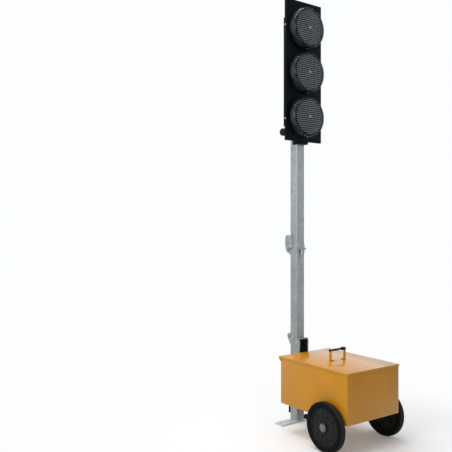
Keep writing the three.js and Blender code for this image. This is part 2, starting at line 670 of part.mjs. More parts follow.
// ---------------------------------------------------------------- assembly
buildBatteryBox();
buildLidSeal();
buildLid();
buildLidHinge();
buildHandle();
buildBatteries();
buildCableGland();
buildChassis();
buildRearBrackets();
buildPost();
buildLowerHinge();
buildSafetyCatch();
buildLowerMast();
buildLip('lower_lip', MIDDLE_JOINT_Z - GAP, -1);
buildLip('upper_lip', MIDDLE_JOINT_Z + GAP, 1);
buildMiddleHinge();
buildPlunger();
buildUpperMast();
buildHead();
buildSlidingClamp();
for (let i = 0; i < LENS_COUNT; i += 1) buildLens(i);
for (const side of [-1, 1]) buildWheel(side);

export default part;
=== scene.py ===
# %% [markdown]
# # A portable traffic light
#
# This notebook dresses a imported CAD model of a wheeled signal: a painted battery box on two
# rubber-tyred wheels, a folding galvanised mast behind it, and a tall black head with three smoky
# lens units. The CAD model is already the right size and shape, so every position below is read
# from it. What is added here is what a simple solid can't show: rounded folds, welds, fasteners,
# prisms, ribs, and the finish of each material.

# %% Load the frame
import math

import bmesh
import bpy
import numpy as np
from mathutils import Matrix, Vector


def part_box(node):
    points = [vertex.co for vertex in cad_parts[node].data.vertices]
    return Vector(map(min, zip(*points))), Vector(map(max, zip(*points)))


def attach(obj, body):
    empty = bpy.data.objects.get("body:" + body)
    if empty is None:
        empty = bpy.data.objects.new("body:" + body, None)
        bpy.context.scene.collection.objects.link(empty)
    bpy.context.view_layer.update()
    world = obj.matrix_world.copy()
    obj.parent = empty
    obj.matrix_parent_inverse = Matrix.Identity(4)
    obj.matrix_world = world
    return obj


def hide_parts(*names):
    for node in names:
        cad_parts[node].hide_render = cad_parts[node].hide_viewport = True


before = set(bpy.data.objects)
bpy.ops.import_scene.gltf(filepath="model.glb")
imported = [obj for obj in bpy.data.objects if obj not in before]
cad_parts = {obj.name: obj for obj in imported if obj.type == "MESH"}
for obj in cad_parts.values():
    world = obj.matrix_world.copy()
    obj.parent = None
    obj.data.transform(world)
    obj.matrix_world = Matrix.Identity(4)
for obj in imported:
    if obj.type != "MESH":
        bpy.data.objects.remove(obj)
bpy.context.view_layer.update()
MM = 0.001


def linked(name, data):
    """A new object in the scene that holds this data."""
    made = bpy.data.objects.new(name, data)
    bpy.context.scene.collection.objects.link(made)
    return made


def middle(node):
    """The middle of a node's box, as x, y and z."""
    low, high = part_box(node)
    return [(a + b) / 2 for a, b in zip(low, high)]


# %% [markdown]
# ## Camera
#
# The object stands in the picture as somebody about as tall as its lower mast would see it from a
# few paces away: level, so the mast stays upright in the picture, and turned towards the corner
# between the long side of the box and its front. A level camera keeps upright lines parallel,
# which a tilted one would not.

# %% Camera
CAMERA_PLACE = (-2.475, -2.483, 1.170)
CAMERA_TURN = math.radians(-35.35)
LENS_LENGTH = 48.7
SENSOR_WIDTH = 36
camera = linked("camera", bpy.data.cameras.new("camera"))
camera.location = CAMERA_PLACE
camera.rotation_euler = (math.radians(90), 0, CAMERA_TURN)
camera.data.lens = LENS_LENGTH
camera.data.sensor_width = SENSOR_WIDTH
bpy.context.scene.camera = camera
print("camera at", CAMERA_PLACE)

# %% [markdown]
# ## Light
#
# A plain studio: a pale surround on all sides, one soft lamp to the left of the camera that gives
# the long side of the box its warm, even brightness, and a broad one overhead for the floor and
# the lid. Nothing stands on the right, so the front of the box falls into a gentle shade. The
# colours are shown by the plain transform, which keeps a strong yellow strong.

# %% Light
def soft_light(name, place, target, size, power):
    """A square area light at place that faces target."""
    light = linked(name, bpy.data.lights.new(name, "AREA"))
    light.data.shape = "SQUARE"
    light.data.size = size
    light.data.energy = power
    light.location = place
    light.rotation_euler = (Vector(target) - Vector(place)).to_track_quat("-Z", "Y").to_euler()


soft_light("key", (-4.5, -0.4, 2.6), (0, 0, 0.9), 1.8, 75)
soft_light("overhead", (-0.6, 1.0, 5.0), (0, 0, 0.6), 3.0, 130)


def pale_surround(seen, cast):
    """A world as bright as seen to the eye and in reflections, but that lights matt surfaces as if
    it were only as bright as cast, so that the lamps still shape the object."""
    world = bpy.data.worlds.new("surround")
    world.use_nodes = True
    tree = world.node_tree
    path = tree.nodes.new("ShaderNodeLightPath")
    strength = tree.nodes.new("ShaderNodeMapRange")
    strength.inputs["To Min"].default_value = seen
    strength.inputs["To Max"].default_value = cast
    tree.links.new(path.outputs["Is Diffuse Ray"], strength.inputs["Value"])
    tree.links.new(strength.outputs["Result"], tree.nodes["Background"].inputs["Strength"])
    tree.nodes["Background"].inputs["Color"].default_value = (0.97, 0.985, 1.0, 1)
    bpy.context.scene.world = world


pale_surround(seen=1.0, cast=0.42)
bpy.context.scene.view_settings.view_transform = "Standard"
print("2 lamps and a pale surround")

# %% [markdown]
# ## Shader sums
#
# A finish is mostly arithmetic on patterns: this much noise, minus that mask. Wiring a Math node
# for every sign hides the sum, so a small class wraps a socket and lets Python's own operators
# place the nodes. A second class holds one material and adds any other node in one call.

# %% Shader sums
class Wire:
    """A shader socket that takes part in Python sums. Each operator adds one Math node."""

    def __init__(self, finish, socket):
        self.finish = finish
        self.socket = socket

    def math(self, operation, *values):
        return self.finish.node("ShaderNodeMath", dict(enumerate(values)), operation=operation)

    def __add__(self, other):
        return self.math("ADD", self, other)

    def __sub__(self, other):
        return self.math("SUBTRACT", self, other)

    def __rsub__(self, other):
        return self.math("SUBTRACT", other, self)

    def __mul__(self, other):
        return self.math("MULTIPLY", self, other)

    __radd__ = __add__
    __rmul__ = __mul__

    def ramp(self, low, high):
        """0 below low, 1 above high, and a smooth S between them; low may be the larger."""
        values = {"Value": self, "From Min": low, "From Max": high}
        return self.finish.node("ShaderNodeMapRange", values, interpolation_type="SMOOTHSTEP")


class Finish:
    """A material being made. constants are the Principled shader's sockets that never vary."""

    def __init__(self, name, constants):
        self.material = bpy.data.materials.new(name)
        self.material.use_nodes = True
        self.tree = self.material.node_tree
        self.shader = self.tree.nodes["Principled BSDF"]
        for socket, value in constants.items():
            self.shader.inputs[socket].default_value = value
        self.place = self.node("ShaderNodeTexCoord", out="Object")

    def node(self, kind, inputs=None, out=0, **settings):
        """Adds a node: its settings first, then each socket's value or link. Returns its output."""
        added = self.tree.nodes.new(kind)
        for key, value in settings.items():
            setattr(added, key, value)
        for key, value in (inputs or {}).items():
            if isinstance(value, Wire):
                self.tree.links.new(value.socket, added.inputs[key])
            else:
                added.inputs[key].default_value = value
        return Wire(self, added.outputs[out])

    def noise(self, scale, detail=3, at=None):
        """Soft noise from 0 to 1 with this many waves to the metre."""
        values = {"Vector": at or self.place, "Scale": scale, "Detail": detail}
        return self.node("ShaderNodeTexNoise", values)

    def stretched(self, along_x, along_y, along_z):
        """Object coordinates scaled by axis, so that a pattern runs long where the number is low."""
        values = {"Vector": self.place, "Scale": (along_x, along_y, along_z)}
        return self.node("ShaderNodeMapping", values)

    def height(self):
        """How high a point lies, in metres."""
        return self.node("ShaderNodeSeparateXYZ", {"Vector": self.place}, out="Z")

    def mix(self, share, first, second):
        """first where share is 0, second where it is 1."""
        colours = [c if isinstance(c, Wire) else (*c, 1) for c in (first, second)]
        values = {0: share, 6: colours[0], 7: colours[1]}
        return self.node("ShaderNodeMix", values, out=2, data_type="RGBA")

    def bump(self, height, distance):
        values = {"Height": height, "Distance": distance}
        self.surface("Normal", self.node("ShaderNodeBump", values))

    def surface(self, socket, wire):
        self.tree.links.new(wire.socket, self.shader.inputs[socket])


print("shader helpers ready")

# %% [markdown]
# ## Yellow powder coat
#
# The box is folded sheet steel under a thick, glossy, warm yellow powder coat. Powder flows as it
# melts but never quite levels, which leaves a fine orange peel, so the bump has two scales: a long
# lazy wave from the sheet itself and a fine one from the powder. A clear coat on top carries the
# sharp reflection while the colour below stays a little rough. Dust gathers low on the walls.

# %% Yellow powder coat
def yellow_powder_coat():
    constants = {"Coat Roughness": 0.12, "Coat IOR": 1.33, "Specular IOR Level": 0.15}
    finish = Finish("yellow powder coat", constants)
    cloud = finish.noise(5.0, 4)
    peel = finish.noise(520.0, 1)
    sheet = finish.noise(7.0, 1)
    rubs = finish.noise(16.0, 6, at=finish.stretched(1.0, 1.0, 5.0)).ramp(0.66, 0.76)
    low_dust = finish.height().ramp(0.25, 0.155) * finish.noise(28.0, 5).ramp(0.40, 0.70)
    paint = finish.mix(cloud.ramp(0.3, 0.7), (0.580, 0.245, 0.004), (0.640, 0.272, 0.006))
    dusty = finish.mix(low_dust * 0.35, paint, (0.42, 0.30, 0.14))
    finish.surface("Base Color", finish.mix(rubs * 0.10, dusty, (0.62, 0.36, 0.10)))
    finish.surface("Roughness", 0.30 + 0.10 * cloud + 0.12 * rubs + 0.25 * low_dust)
    finish.surface("Coat Weight", 0.65 - 0.30 * rubs - 0.4 * low_dust)
    finish.bump(sheet * 3.0 + peel * 0.05, 0.35 * MM)
    return finish.material


YELLOW = yellow_powder_coat()
print("made", YELLOW.name)

# %% [markdown]
# ## Galvanised steel
#
# The mast and its brackets are dipped in molten zinc. The zinc freezes in crystals, the spangle,
# each of which reflects a little differently, and weathers to a mottled blue-grey. Voronoi cells
# with a random grey each give the crystals, a slow noise gives the mottle, and noise stretched
# along the tube gives the runs left as it is lifted out of the bath. The zinc is made a darker grey
# towards the bottom of the mast, while the foot plate is scuffed bright.

# %% Galvanised steel
def galvanised_steel():
    finish = Finish("galvanised steel", {"Specular IOR Level": 0.5})
    warp = finish.noise(30.0, 2)
    spangle = finish.node("ShaderNodeTexVoronoi", {"Vector": finish.place, "Scale": 85.0}, out="Color")
    crystal = finish.node("ShaderNodeSeparateColor", {"Color": spangle})
    mottle = finish.noise(11.0, 5).ramp(0.34, 0.68)
    runs = finish.noise(60.0, 3, at=finish.stretched(1.0, 1.0, 0.06)).ramp(0.35, 0.75)
    low_stain = finish.height().ramp(0.75, 0.30) * finish.height().ramp(0.010, 0.040) * 0.55
    # Darker grey towards the bottom of the mast, from 1.7 m down to 0.6 m, but not on the foot plate.
    darker_below = finish.height().ramp(1.7, 0.6) * finish.height().ramp(0.010, 0.040)
    tone = 0.45 * crystal + 0.35 * mottle + 0.2 * runs
    zinc = finish.mix(tone, (0.25, 0.285, 0.295), (0.50, 0.55, 0.56))
    zinc_darker_below = finish.mix(darker_below * 0.35, zinc, (0.21, 0.22, 0.22))
    scuffed = finish.mix(finish.height().ramp(0.012, 0.006) * 0.6, zinc_darker_below, (0.66, 0.69, 0.70))
    finish.surface("Base Color", finish.mix(low_stain * mottle, scuffed, (0.30, 0.285, 0.25)))
    finish.surface("Roughness", 0.36 + 0.20 * mottle + 0.12 * crystal)
    finish.surface("Metallic", 0.85 - 0.35 * mottle)
    finish.bump(crystal * 0.25 + runs * 0.5 + warp * 0.8, 0.12 * MM)
    return finish.material


ZINC = galvanised_steel()
print("made", ZINC.name)

# %% [markdown]
# ## Plated steel
#
# Pins, nuts, bolts and washers are turned or pressed and then zinc plated: brighter and smoother
# than the dipped steel, with fine tool marks. A faint yellow-grey cast in places keeps a row of
# bolts from looking like one colour.

# %% Plated steel
def plated_steel():
    finish = Finish("plated steel", {"Metallic": 1.0})
    marks = finish.noise(900.0, 2)
    cast = finish.noise(45.0, 3).ramp(0.35, 0.65)
    finish.surface("Base Color", finish.mix(cast, (0.40, 0.41, 0.42), (0.48, 0.47, 0.43)))
    finish.surface("Roughness", 0.22 + 0.12 * marks + 0.08 * cast)
    finish.bump(marks, 0.03 * MM)
    return finish.material


PLATED = plated_steel()
print("made", PLATED.name)

# %% [markdown]
# ## Black powder coat
#
# The head, its clamp and the under-carriage are black. This powder is finer and duller than the
# yellow: a satin with a close grain. Dust shows on black long before it shows on yellow, so a thin
# grey film lies over it in slow patches.

# %% Black powder coat
def black_powder_coat():
    finish = Finish("black powder coat", {"Specular IOR Level": 0.06})
    grain = finish.noise(750.0, 2)
    patches = finish.noise(9.0, 5).ramp(0.42, 0.72)
    dusty = finish.mix(patches * 0.3, (0.0020, 0.0030, 0.0040), (0.0090, 0.0115, 0.0130))
    finish.surface("Base Color", dusty)
    finish.surface("Roughness", 0.40 + 0.10 * grain + 0.14 * patches)
    finish.bump(grain, 0.05 * MM)
    return finish.material


BLACK = black_powder_coat()
print("made", BLACK.name)

# %% [markdown]
# ## Moulded plastics
#
# The black plastic of the wheel discs, the knob and the grip comes out of a spark-eroded mould
# with a leathery micro-texture. The grey caps come out of a polished one. Both are the same recipe
# with another colour and another depth of grain, so one function makes them.

# %% Moulded plastics
def moulded_plastic(name, dark, light, roughness, grain_depth, specular=0.2):
    finish = Finish(name, {"Specular IOR Level": specular})
    grain = finish.node("ShaderNodeTexVoronoi", {"Vector": finish.place, "Scale": 900.0}, out="Distance")
    wear = finish.noise(35.0, 4).ramp(0.45, 0.70)
    finish.surface("Base Color", finish.mix(wear, dark, light))
    finish.surface("Roughness", roughness + 0.12 * wear)
    finish.bump(grain, grain_depth)
    return finish.material


BLACK_PLASTIC = moulded_plastic(
    "black plastic", (0.0035, 0.0038, 0.0042), (0.011, 0.011, 0.012), 0.34, 0.05 * MM, 0.14
)
GREY_PLASTIC = moulded_plastic("grey plastic", (0.11, 0.12, 0.125), (0.18, 0.19, 0.20), 0.36, 0.02 * MM)
BATTERY_PLASTIC = moulded_plastic(
    "battery case", (0.014, 0.015, 0.017), (0.024, 0.025, 0.028), 0.42, 0.06 * MM
)
RED_PLASTIC = moulded_plastic("red plastic", (0.42, 0.020, 0.015), (0.50, 0.03, 0.02), 0.35, 0.02 * MM)
print("made 4 plastics")

# %% [markdown]
# ## Rubber
#
# Solid tyres are matt and pick up the ground they roll on. The tread gets grey dust in its pores,
# where it bears on the road, so the dust is laid on by distance from the axle: little on the
# walls, most on the tread. The bumper and the buffer in the hinge are nearly clean.

# %% Rubber
SCUFF_DUST = 0.15
TREAD_START, TREAD_END = 124 * MM, 129 * MM


def rubber(name, axle=None):
    """Black rubber with dust in its scuffs. An axle, its depth and height, adds a worn tread."""
    finish = Finish(name, {"Specular IOR Level": 0.07})
    pores = finish.noise(420.0, 3)
    scuffs = finish.noise(24.0, 6).ramp(0.48, 0.74)
    film = scuffs * SCUFF_DUST
    if axle:
        values = {0: finish.stretched(0.0, 1.0, 1.0), 1: (0, *axle)}
        distance = finish.node("ShaderNodeVectorMath", values, out="Value", operation="DISTANCE")
        film = film + distance.ramp(TREAD_START, TREAD_END) * 0.7
    finish.surface("Base Color", finish.mix(film * 0.5, (0.0040, 0.0044, 0.0050), (0.060, 0.057, 0.052)))
    finish.surface("Roughness", 0.62 + 0.2 * pores + 0.1 * scuffs)
    finish.bump(pores + scuffs * 0.6, 0.12 * MM)
    return finish.material


wheel_low, wheel_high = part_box("tyre_left")
TYRE = rubber("tyre rubber", tuple((wheel_low + wheel_high) / 2)[1:])
RUBBER = rubber("black rubber")
print("made 2 rubbers")

# %% [markdown]
# ## Lens plastics
#
# Each signal has two layers. The outer cover is a smoky moulding whose rounded shoulder catches
# the light. Behind its face lies a prismatic plate that spreads the lamp's beam. The cover's face
# is thin and lets the plate show, while its wall is seen edge on through much more plastic, so its
# alpha rises with depth behind the face. The plate is opaque, because the lamp behind it is off.

# %% Lens plastics
def smoky_cover(face):
    """Nearly clear at the depth of the face, nearly opaque 30 mm behind it."""
    finish = Finish("smoky plastic", {"IOR": 1.40})
    haze = finish.noise(30.0, 4).ramp(0.45, 0.75)
    depth = finish.node("ShaderNodeSeparateXYZ", {"Vector": finish.place}, out="Y")
    finish.surface("Base Color", finish.mix(haze, (0.022, 0.032, 0.038), (0.032, 0.044, 0.051)))
    finish.surface("Alpha", 0.14 + 0.70 * depth.ramp(face + 3 * MM, face + 30 * MM))
    finish.surface("Roughness", 0.14 + 0.08 * haze)
    finish.bump(finish.noise(14.0, 1), 0.05 * MM)
    return finish.material


def prism_plate():
    finish = Finish("prismatic plastic", {"Specular IOR Level": 0.35})
    glow = finish.noise(8.0, 3).ramp(0.30, 0.70)
    groove_shade = finish.node("ShaderNodeAttribute", out="Fac", attribute_name="groove_shade")
    smoke = finish.mix(glow, (0.430, 0.490, 0.540), (0.540, 0.590, 0.620))
    boss = finish.node("ShaderNodeAttribute", out="Fac", attribute_name="boss")
    # Painted shade: the grooves between the pillows are coloured near black.
    smoke_with_groove_shade = finish.mix(groove_shade.ramp(0.10, 0.75), smoke, (0.004, 0.005, 0.007))
    finish.surface("Base Color", finish.mix(boss, smoke_with_groove_shade, (0.62, 0.66, 0.68)))
    finish.surface("Roughness", 0.38 + 0.25 * groove_shade)
    return finish.material


SMOKY = smoky_cover(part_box("lens_1")[0].y)
PRISM = prism_plate()
print("made", SMOKY.name, "and", PRISM.name)

# %% [markdown]
# ## The floor's own finish
#
# The floor is a stage and not part of the object. It only has to be pale, matt and slightly
# uneven, so that the contact shadows look like shadows on something. A few paces out it fades away
# into the pale surround, so no horizon crosses the mast.

# %% Floor
def pale_floor():
    glow = {"Emission Color": (1, 1, 1, 1), "Emission Strength": 0.12}
    finish = Finish("pale floor", {"Specular IOR Level": 0.2, **glow})
    finish.surface("Base Color", finish.mix(finish.noise(3.0), (0.86, 0.86, 0.86), (0.90, 0.90, 0.90)))
    finish.surface("Roughness", 0.75 + 0.1 * finish.noise(40.0))
    distance = finish.node("ShaderNodeVectorMath", {0: finish.place}, out="Value", operation="LENGTH")
    finish.surface("Alpha", distance.ramp(1.35, 0.25))
    return finish.material


FLOOR_HALF = 1.4
floor_mesh = bpy.data.meshes.new("floor")
floor_corners = [(x * FLOOR_HALF, y * FLOOR_HALF, 0) for x, y in ((-1, -1), (1, -1), (1, 1), (-1, 1))]
floor_mesh.from_pydata(floor_corners, [], [(0, 1, 2, 3)])
floor_mesh.materials.append(pale_floor())
floor = linked("floor", floor_mesh)
print("floor laid")

# %% [markdown]
# ## Making surfaces
#
# Every new piece is a grid of points, worked out as whole arrays: one row for each step along the
# shape and one column for each step around it. `solid` turns such a grid into a closed mesh and
# merges the points that fall together at a pole. `fillet` rounds the corners of an outline first,
# because nothing folded, turned or moulded has a true edge. `dress` gives a piece its finish and
# makes it ride on its body.


def grid_faces(rows, columns, close_rows):
    """Four-cornered faces between neighbours of a grid. Its columns join end to end, so may its rows."""
    r = np.arange(rows if close_rows else rows - 1)[:, None]
    c = np.arange(columns)[None, :]
    down = (r + 1) % rows
    right = (c + 1) % columns
    corners = (r * columns + c, r * columns + right, down * columns + right, down * columns + c)
    return np.stack([k.ravel() for k in np.broadcast_arrays(*corners)], axis=1)


def dress(piece, body, material, replaced=()):
    """Gives a piece its finish and the body it rides on."""
    piece.data.materials.clear()
    piece.data.materials.append(material)
    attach(piece, body)
    if replaced:
        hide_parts(*replaced)
    return piece


def solid(name, grids):
    """One object from one or more grids of points, each rows x columns x 3. A grid closes on itself
    both ways, unless its first row is a single point: then its rows run from pole to pole."""
    shape = bmesh.new()
    for grid in grids:
        rows, columns = grid.shape[:2]
        has_poles = np.ptp(grid[0], axis=0).max() < 1e-9
        mesh = bpy.data.meshes.new(name)
        faces = grid_faces(rows, columns, not has_poles)
        mesh.from_pydata(grid.reshape(-1, 3).tolist(), [], faces.tolist())
        shape.from_mesh(mesh)
        bpy.data.meshes.remove(mesh)
    bmesh.ops.remove_doubles(shape, verts=shape.verts, dist=1e-6)
    bmesh.ops.recalc_face_normals(shape, faces=shape.faces)
    mesh = bpy.data.meshes.new(name)
    shape.to_mesh(mesh)
    shape.free()
    mesh.shade_smooth()
    mesh.set_sharp_from_angle(angle=math.radians(38))
    return linked(name, mesh)


def fillet(corners, radius, steps=4, closed=True):
    """The outline with each corner replaced by a curve: (1-t)^2 A + 2t(1-t) B + t^2 C, where B is
    the corner and A and C lie a radius away on its two sides, or less far on a short side."""
    points = np.array(corners, float)
    before = np.roll(points, 1, 0) - points
    after = np.roll(points, -1, 0) - points
    reach_before = np.minimum(radius, 0.45 * np.linalg.norm(before, axis=1))
    reach_after = np.minimum(radius, 0.45 * np.linalg.norm(after, axis=1))
    if not closed:
        reach_before[[0, -1]] = 0
        reach_after[[0, -1]] = 0
    unit_before = before / np.linalg.norm(before, axis=1, keepdims=True)
    unit_after = after / np.linalg.norm(after, axis=1, keepdims=True)
    start = points + unit_before * reach_before[:, None]
    end = points + unit_after * reach_after[:, None]
    t = np.linspace(0, 1, steps + 1)[None, :, None]
    curve = (1 - t) ** 2 * start[:, None] + 2 * t * (1 - t) * points[:, None] + t**2 * end[:, None]
    return curve.reshape(-1, points.shape[1])


AXES = {"x": (1, 2, 0), "y": (2, 0, 1), "z": (0, 1, 2)}


def placed(local, axis, centre):
    """Points from three arrays, two across the axis and one along it, moved to centre."""
    grid = np.empty((*local[0].shape, 3))
    for source, target in enumerate(AXES[axis]):
        grid[..., target] = local[source]
    return grid + np.array(centre, float)


def turned(profile, axis, centre, facets=48, waves=None):
    """The profile of (radius, height) points carried round an axis: a point at angle a goes to
    (radius cos a, radius sin a, height). waves(a, radius) may scale the radius."""
    profile = np.array(profile, float)
    angle = np.linspace(0, 2 * np.pi, facets, endpoint=False)[None, :]
    radius = profile[:, :1] * np.ones_like(angle)
    height = profile[:, 1:] * np.ones_like(angle)
    if waves is not None:
        radius = radius * waves(angle, radius)
    return placed((radius * np.cos(angle), radius * np.sin(angle), height), axis, centre)


print("surface helpers ready")

# %% [markdown]
# ## Folded and cut plate
#
# The brackets, cheeks, lugs and covers already have their true outline in CAD, but their edges are
# razor sharp, and a sharp edge never catches the light. A copy of each is merged back from loose
# triangles into large flat faces, and a bevel then rounds every real edge. The copy stands in for
# the node, and its width suits the piece: wide on the folds of the box, fine on a cut plate.

# %% Softened copies
FLAT = math.radians(1.0)
EDGE = math.radians(33.0)


def softened(node, width):
    """A copy of a CAD node with its flat faces merged and its edges rounded by width metres."""
    name = f"{node}_dressed"
    shape = bmesh.new()
    shape.from_mesh(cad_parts[node].data)
    bmesh.ops.remove_doubles(shape, verts=shape.verts, dist=1e-6)
    bmesh.ops.dissolve_limit(shape, angle_limit=FLAT, verts=shape.verts, edges=shape.edges)
    mesh = bpy.data.meshes.new(name)
    shape.to_mesh(mesh)
    shape.free()
    mesh.shade_smooth()
    piece = linked(name, mesh)
    bevel = piece.modifiers.new("rounded edges", "BEVEL")
    bevel.width = width
    bevel.segments = 2
    bevel.limit_method = "ANGLE"
    bevel.angle_limit = EDGE
    bevel.harden_normals = True
    return piece


PLATES = [
    # node, body, finish, width of the rounding in millimetres
    ("battery_box", "chassis", YELLOW, 2.0),
    ("lid", "lid", YELLOW, 1.0),
    ("handle_upright_left", "lid", YELLOW, 0.8),
    ("handle_upright_right", "lid", YELLOW, 0.8),
    ("rear_bracket_lower", "chassis", ZINC, 1.0),
    ("rear_bracket_upper", "chassis", ZINC, 1.0),
    ("foot_plate", "chassis", ZINC, 1.2),
    ("post_bumper", "chassis", RUBBER, 3.0),
    ("lower_hinge_bracket", "chassis", ZINC, 0.9),
    ("hinge_buffer", "chassis", RUBBER, 2.0),
    ("catch_base", "chassis", ZINC, 0.5),
    ("safety_catch", "safety_catch", ZINC, 0.6),
    ("lid_hinge_leaf_box", "chassis", ZINC, 0.4),
    ("lid_hinge_leaf_lid", "lid", ZINC, 0.4),
    ("axle_hanger_left", "chassis", BLACK, 1.5),
    ("axle_hanger_right", "chassis", BLACK, 1.5),
    ("draw_bar", "chassis", BLACK, 2.5),
    ("lower_hinge_lug", "lower_mast", BLACK, 1.5),
    ("lower_hinge_cap", "lower_mast", ZINC, 0.8),
    ("rest_block", "lower_mast", ZINC, 2.0),
    ("lower_lip", "lower_mast", ZINC, 0.6),
    ("middle_hinge_lug", "lower_mast", ZINC, 1.2),
    ("upper_lip", "upper_mast", ZINC, 0.6),
    ("middle_cheek_left", "upper_mast", ZINC, 1.0),
    ("middle_cheek_right", "upper_mast", ZINC, 1.0),
    ("backing_plate", "head", BLACK, 1.4),
    ("housing", "head", BLACK, 3.0),
    ("sliding_clamp", "head", BLACK, 1.5),
    ("controller", "chassis", GREY_PLASTIC, 4.0),
    ("battery_1", "chassis", BATTERY_PLASTIC, 3.5),
    ("battery_2", "chassis", BATTERY_PLASTIC, 3.5),
    ("lower_mast_plug", "lower_mast", BLACK_PLASTIC, 1.5),
    ("upper_mast_plug", "upper_mast", BLACK_PLASTIC, 1.5),
    ("lid_seal", "chassis", RUBBER, 0.8),
]
for node, body, material, width in PLATES:
    dress(softened(node, width * MM), body, material, [node])
print(len(PLATES), "plates and covers softened")

# %% [markdown]
# ## Mast tubes
#
# Square tube is rolled, so its corners are round outside and in. The section is an outer outline
# of four filleted corners, and the tube carries it straight up; the inner wall comes back down, so
# the grid closes on itself and the tube has a real wall with open ends.

# %% Mast tubes
def square_outline(half, radius):
    """Corners of a square with this half width, rounded off."""
    corners = [(-half, -half), (half, -half), (half, half), (-half, half)]
    return fillet(corners, radius, 6)


def mast_tube(node, body):
    """Outer outline at both ends, then the inner one at both ends in reverse, all joined."""
    low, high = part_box(node)
    centre = (low + high) / 2
    half = (high.x - low.x) / 2
    wall = 3 * MM
    rim = 0.6 * MM
    outer = square_outline(half, 6 * MM)
    rim_outline = square_outline(half - rim, 5.4 * MM)
    inner = square_outline(half - wall, 3 * MM)
    stations = [
        (outer, low.z + rim), (outer, high.z - rim), (rim_outline, high.z), (inner, high.z),
        (inner, low.z), (rim_outline, low.z),
    ]
    grid = np.empty((len(stations), len(outer), 3))
    for row, (section, z) in zip(grid, stations):
        row[:, :2] = section + np.array((centre.x, centre.y))
        row[:, 2] = z
    piece = solid(f"{node}_tube", [grid])
    return dress(piece, body, ZINC, [node])


for node, body in (("post", "chassis"), ("lower_mast", "lower_mast"), ("upper_mast", "upper_mast")):
    mast_tube(node, body)
print("3 mast tubes rolled")

# %% [markdown]
# ## Bolts, nuts and washers
#
# A hexagon bolt head is a six-sided prism whose corners are cut back by a turned cone. On a grid
# that is one formula: the radius at angle a is the flat's distance over cos of the angle from the
# middle of its flat, capped by the cone. One function gives heads, nuts and washers along any
# axis, and each fixing is placed from the box of the piece that it holds.

# %% Bolts, nuts and washers
def hexagon(angle):
    """Distance to a hexagon's edge at this angle, where its flats are at distance 1."""
    sector = np.pi / 3
    return 1 / np.cos((angle + sector / 2) % sector - sector / 2)


def hex_head(axis, centre, across, height, sign):
    """Head standing on centre along sign * axis. Radius is the smaller of the hexagon and the cone
    that chamfers it, whose radius falls from 1.16 to 0.95 of the flat distance at the top."""
    flat = across / 2
    levels = np.array([0, 0, 0.72, 0.88, 1.0, 1.0])
    cone = np.array([0, 1.16, 1.16, 1.08, 0.95, 0]) * flat
    angle = np.linspace(0, 2 * np.pi, 48, endpoint=False)[None, :]
    radius = np.minimum(cone[:, None], hexagon(angle) * flat)
    up = (levels * height * sign)[:, None] + 0 * angle
    return placed((radius * np.cos(angle), radius * np.sin(angle), up), axis, centre)


def washer(axis, centre, outer, inner, thick, sign):
    """Flat ring standing on centre, its section a small rounded rectangle."""
    section = fillet([(inner, 0), (outer, 0), (outer, thick * sign), (inner, thick * sign)], 0.3 * MM, 2)
    return turned(section, axis, centre, 32)


def domed_head(axis, centre, radius, height, sign):
    """Round head: a cap whose height at distance r is height * sqrt(1 - (r / radius)^2)."""
    t = np.linspace(0, np.pi / 2, 7)
    profile = [(0, 0), *zip(radius * np.cos(t), sign * height * np.sin(t))]
    return turned(profile, axis, centre, 24)


def round_heads(axis, places, radius, height):
    """A round head at each place, standing along the axis."""
    return [domed_head(axis, place, radius, height, 1) for place in places]


def along(axis, centre, distance):
    """centre moved by distance along an axis."""
    moved = np.array(centre, float)
    moved["xyz".index(axis)] += distance
    return moved


def bolt(axis, centre, across, sign):
    """Washer with a hexagon head on it."""
    thick = 0.1 * across
    return [
        washer(axis, centre, across * 0.85, across * 0.30, thick, sign),
        hex_head(axis, along(axis, centre, sign * thick), across, across * 0.55, sign),
    ]


def fixings(name, body, grids):
    dress(solid(name, grids), body, PLATED)
    print(name, len(grids), "shapes")


print("fixing helpers ready")

# %% [markdown]
# ## Welds
#
# The plates are welded to the tube before the whole frame is dipped. A weld is a row of
# overlapping ripples, so the bead is a thin round bar whose radius rises and falls along its run
# and shrinks to nothing at both ends. Each one is laid half buried in the corner between two
# pieces, and all the beads of one body are a single piece.

# %% Welds
RIPPLE = 3.0 * MM


def bead(start, end, width=3.2 * MM):
    """Bar from start to end whose radius is width * min(1, 3 * run to the nearer end / width)^0.5
    * (1 + 0.14 sin(2 pi run / RIPPLE))."""
    start = np.array(start, float)
    direction = np.array(end, float) - start
    length = np.linalg.norm(direction)
    direction = direction / length
    run = np.linspace(0, length, max(12, int(6 * length / RIPPLE)))
    taper = np.sqrt(np.clip(3 * np.minimum(run, length - run) / width, 0, 1))
    radius = width * taper * (1 + 0.14 * np.sin(2 * np.pi * run / RIPPLE))
    side = np.cross(direction, (0.31, 0.53, 0.79))
    side = side / np.linalg.norm(side)
    other = np.cross(direction, side)
    angle = np.linspace(0, 2 * np.pi, 8, endpoint=False)
    circle = np.cos(angle)[:, None] * side + np.sin(angle)[:, None] * other
    return start + run[:, None, None] * direction + radius[:, None, None] * circle[None]


def welds(name, body, beads):
    dress(solid(name, beads), body, ZINC)
    print(name, len(beads), "beads")


def upright_beads(node, x, y):
    """A bead up both sides of a piece, at x either side of the middle and at depth y."""
    low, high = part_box(node)
    return [bead((side * x, y, low.z + 2 * MM), (side * x, y, high.z - 2 * MM)) for side in (-1, 1)]


post_low, post_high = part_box("post")
front, back, half_tube = post_low.y, post_high.y, post_high.x
foot_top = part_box("foot_plate")[1].z
BRACKET_HALF = 25 * MM
CHEEK_WELD_LOW, CHEEK_WELD_HIGH = 410 * MM, 474 * MM
tube_sides = (-half_tube, half_tube)


def lip_bead(z):
    """A finer bead across the front of the mast, along the edge of a lip at height z."""
    end = half_tube - 2 * MM
    return bead((-end, front, z), (end, front, z), 2.0 * MM)


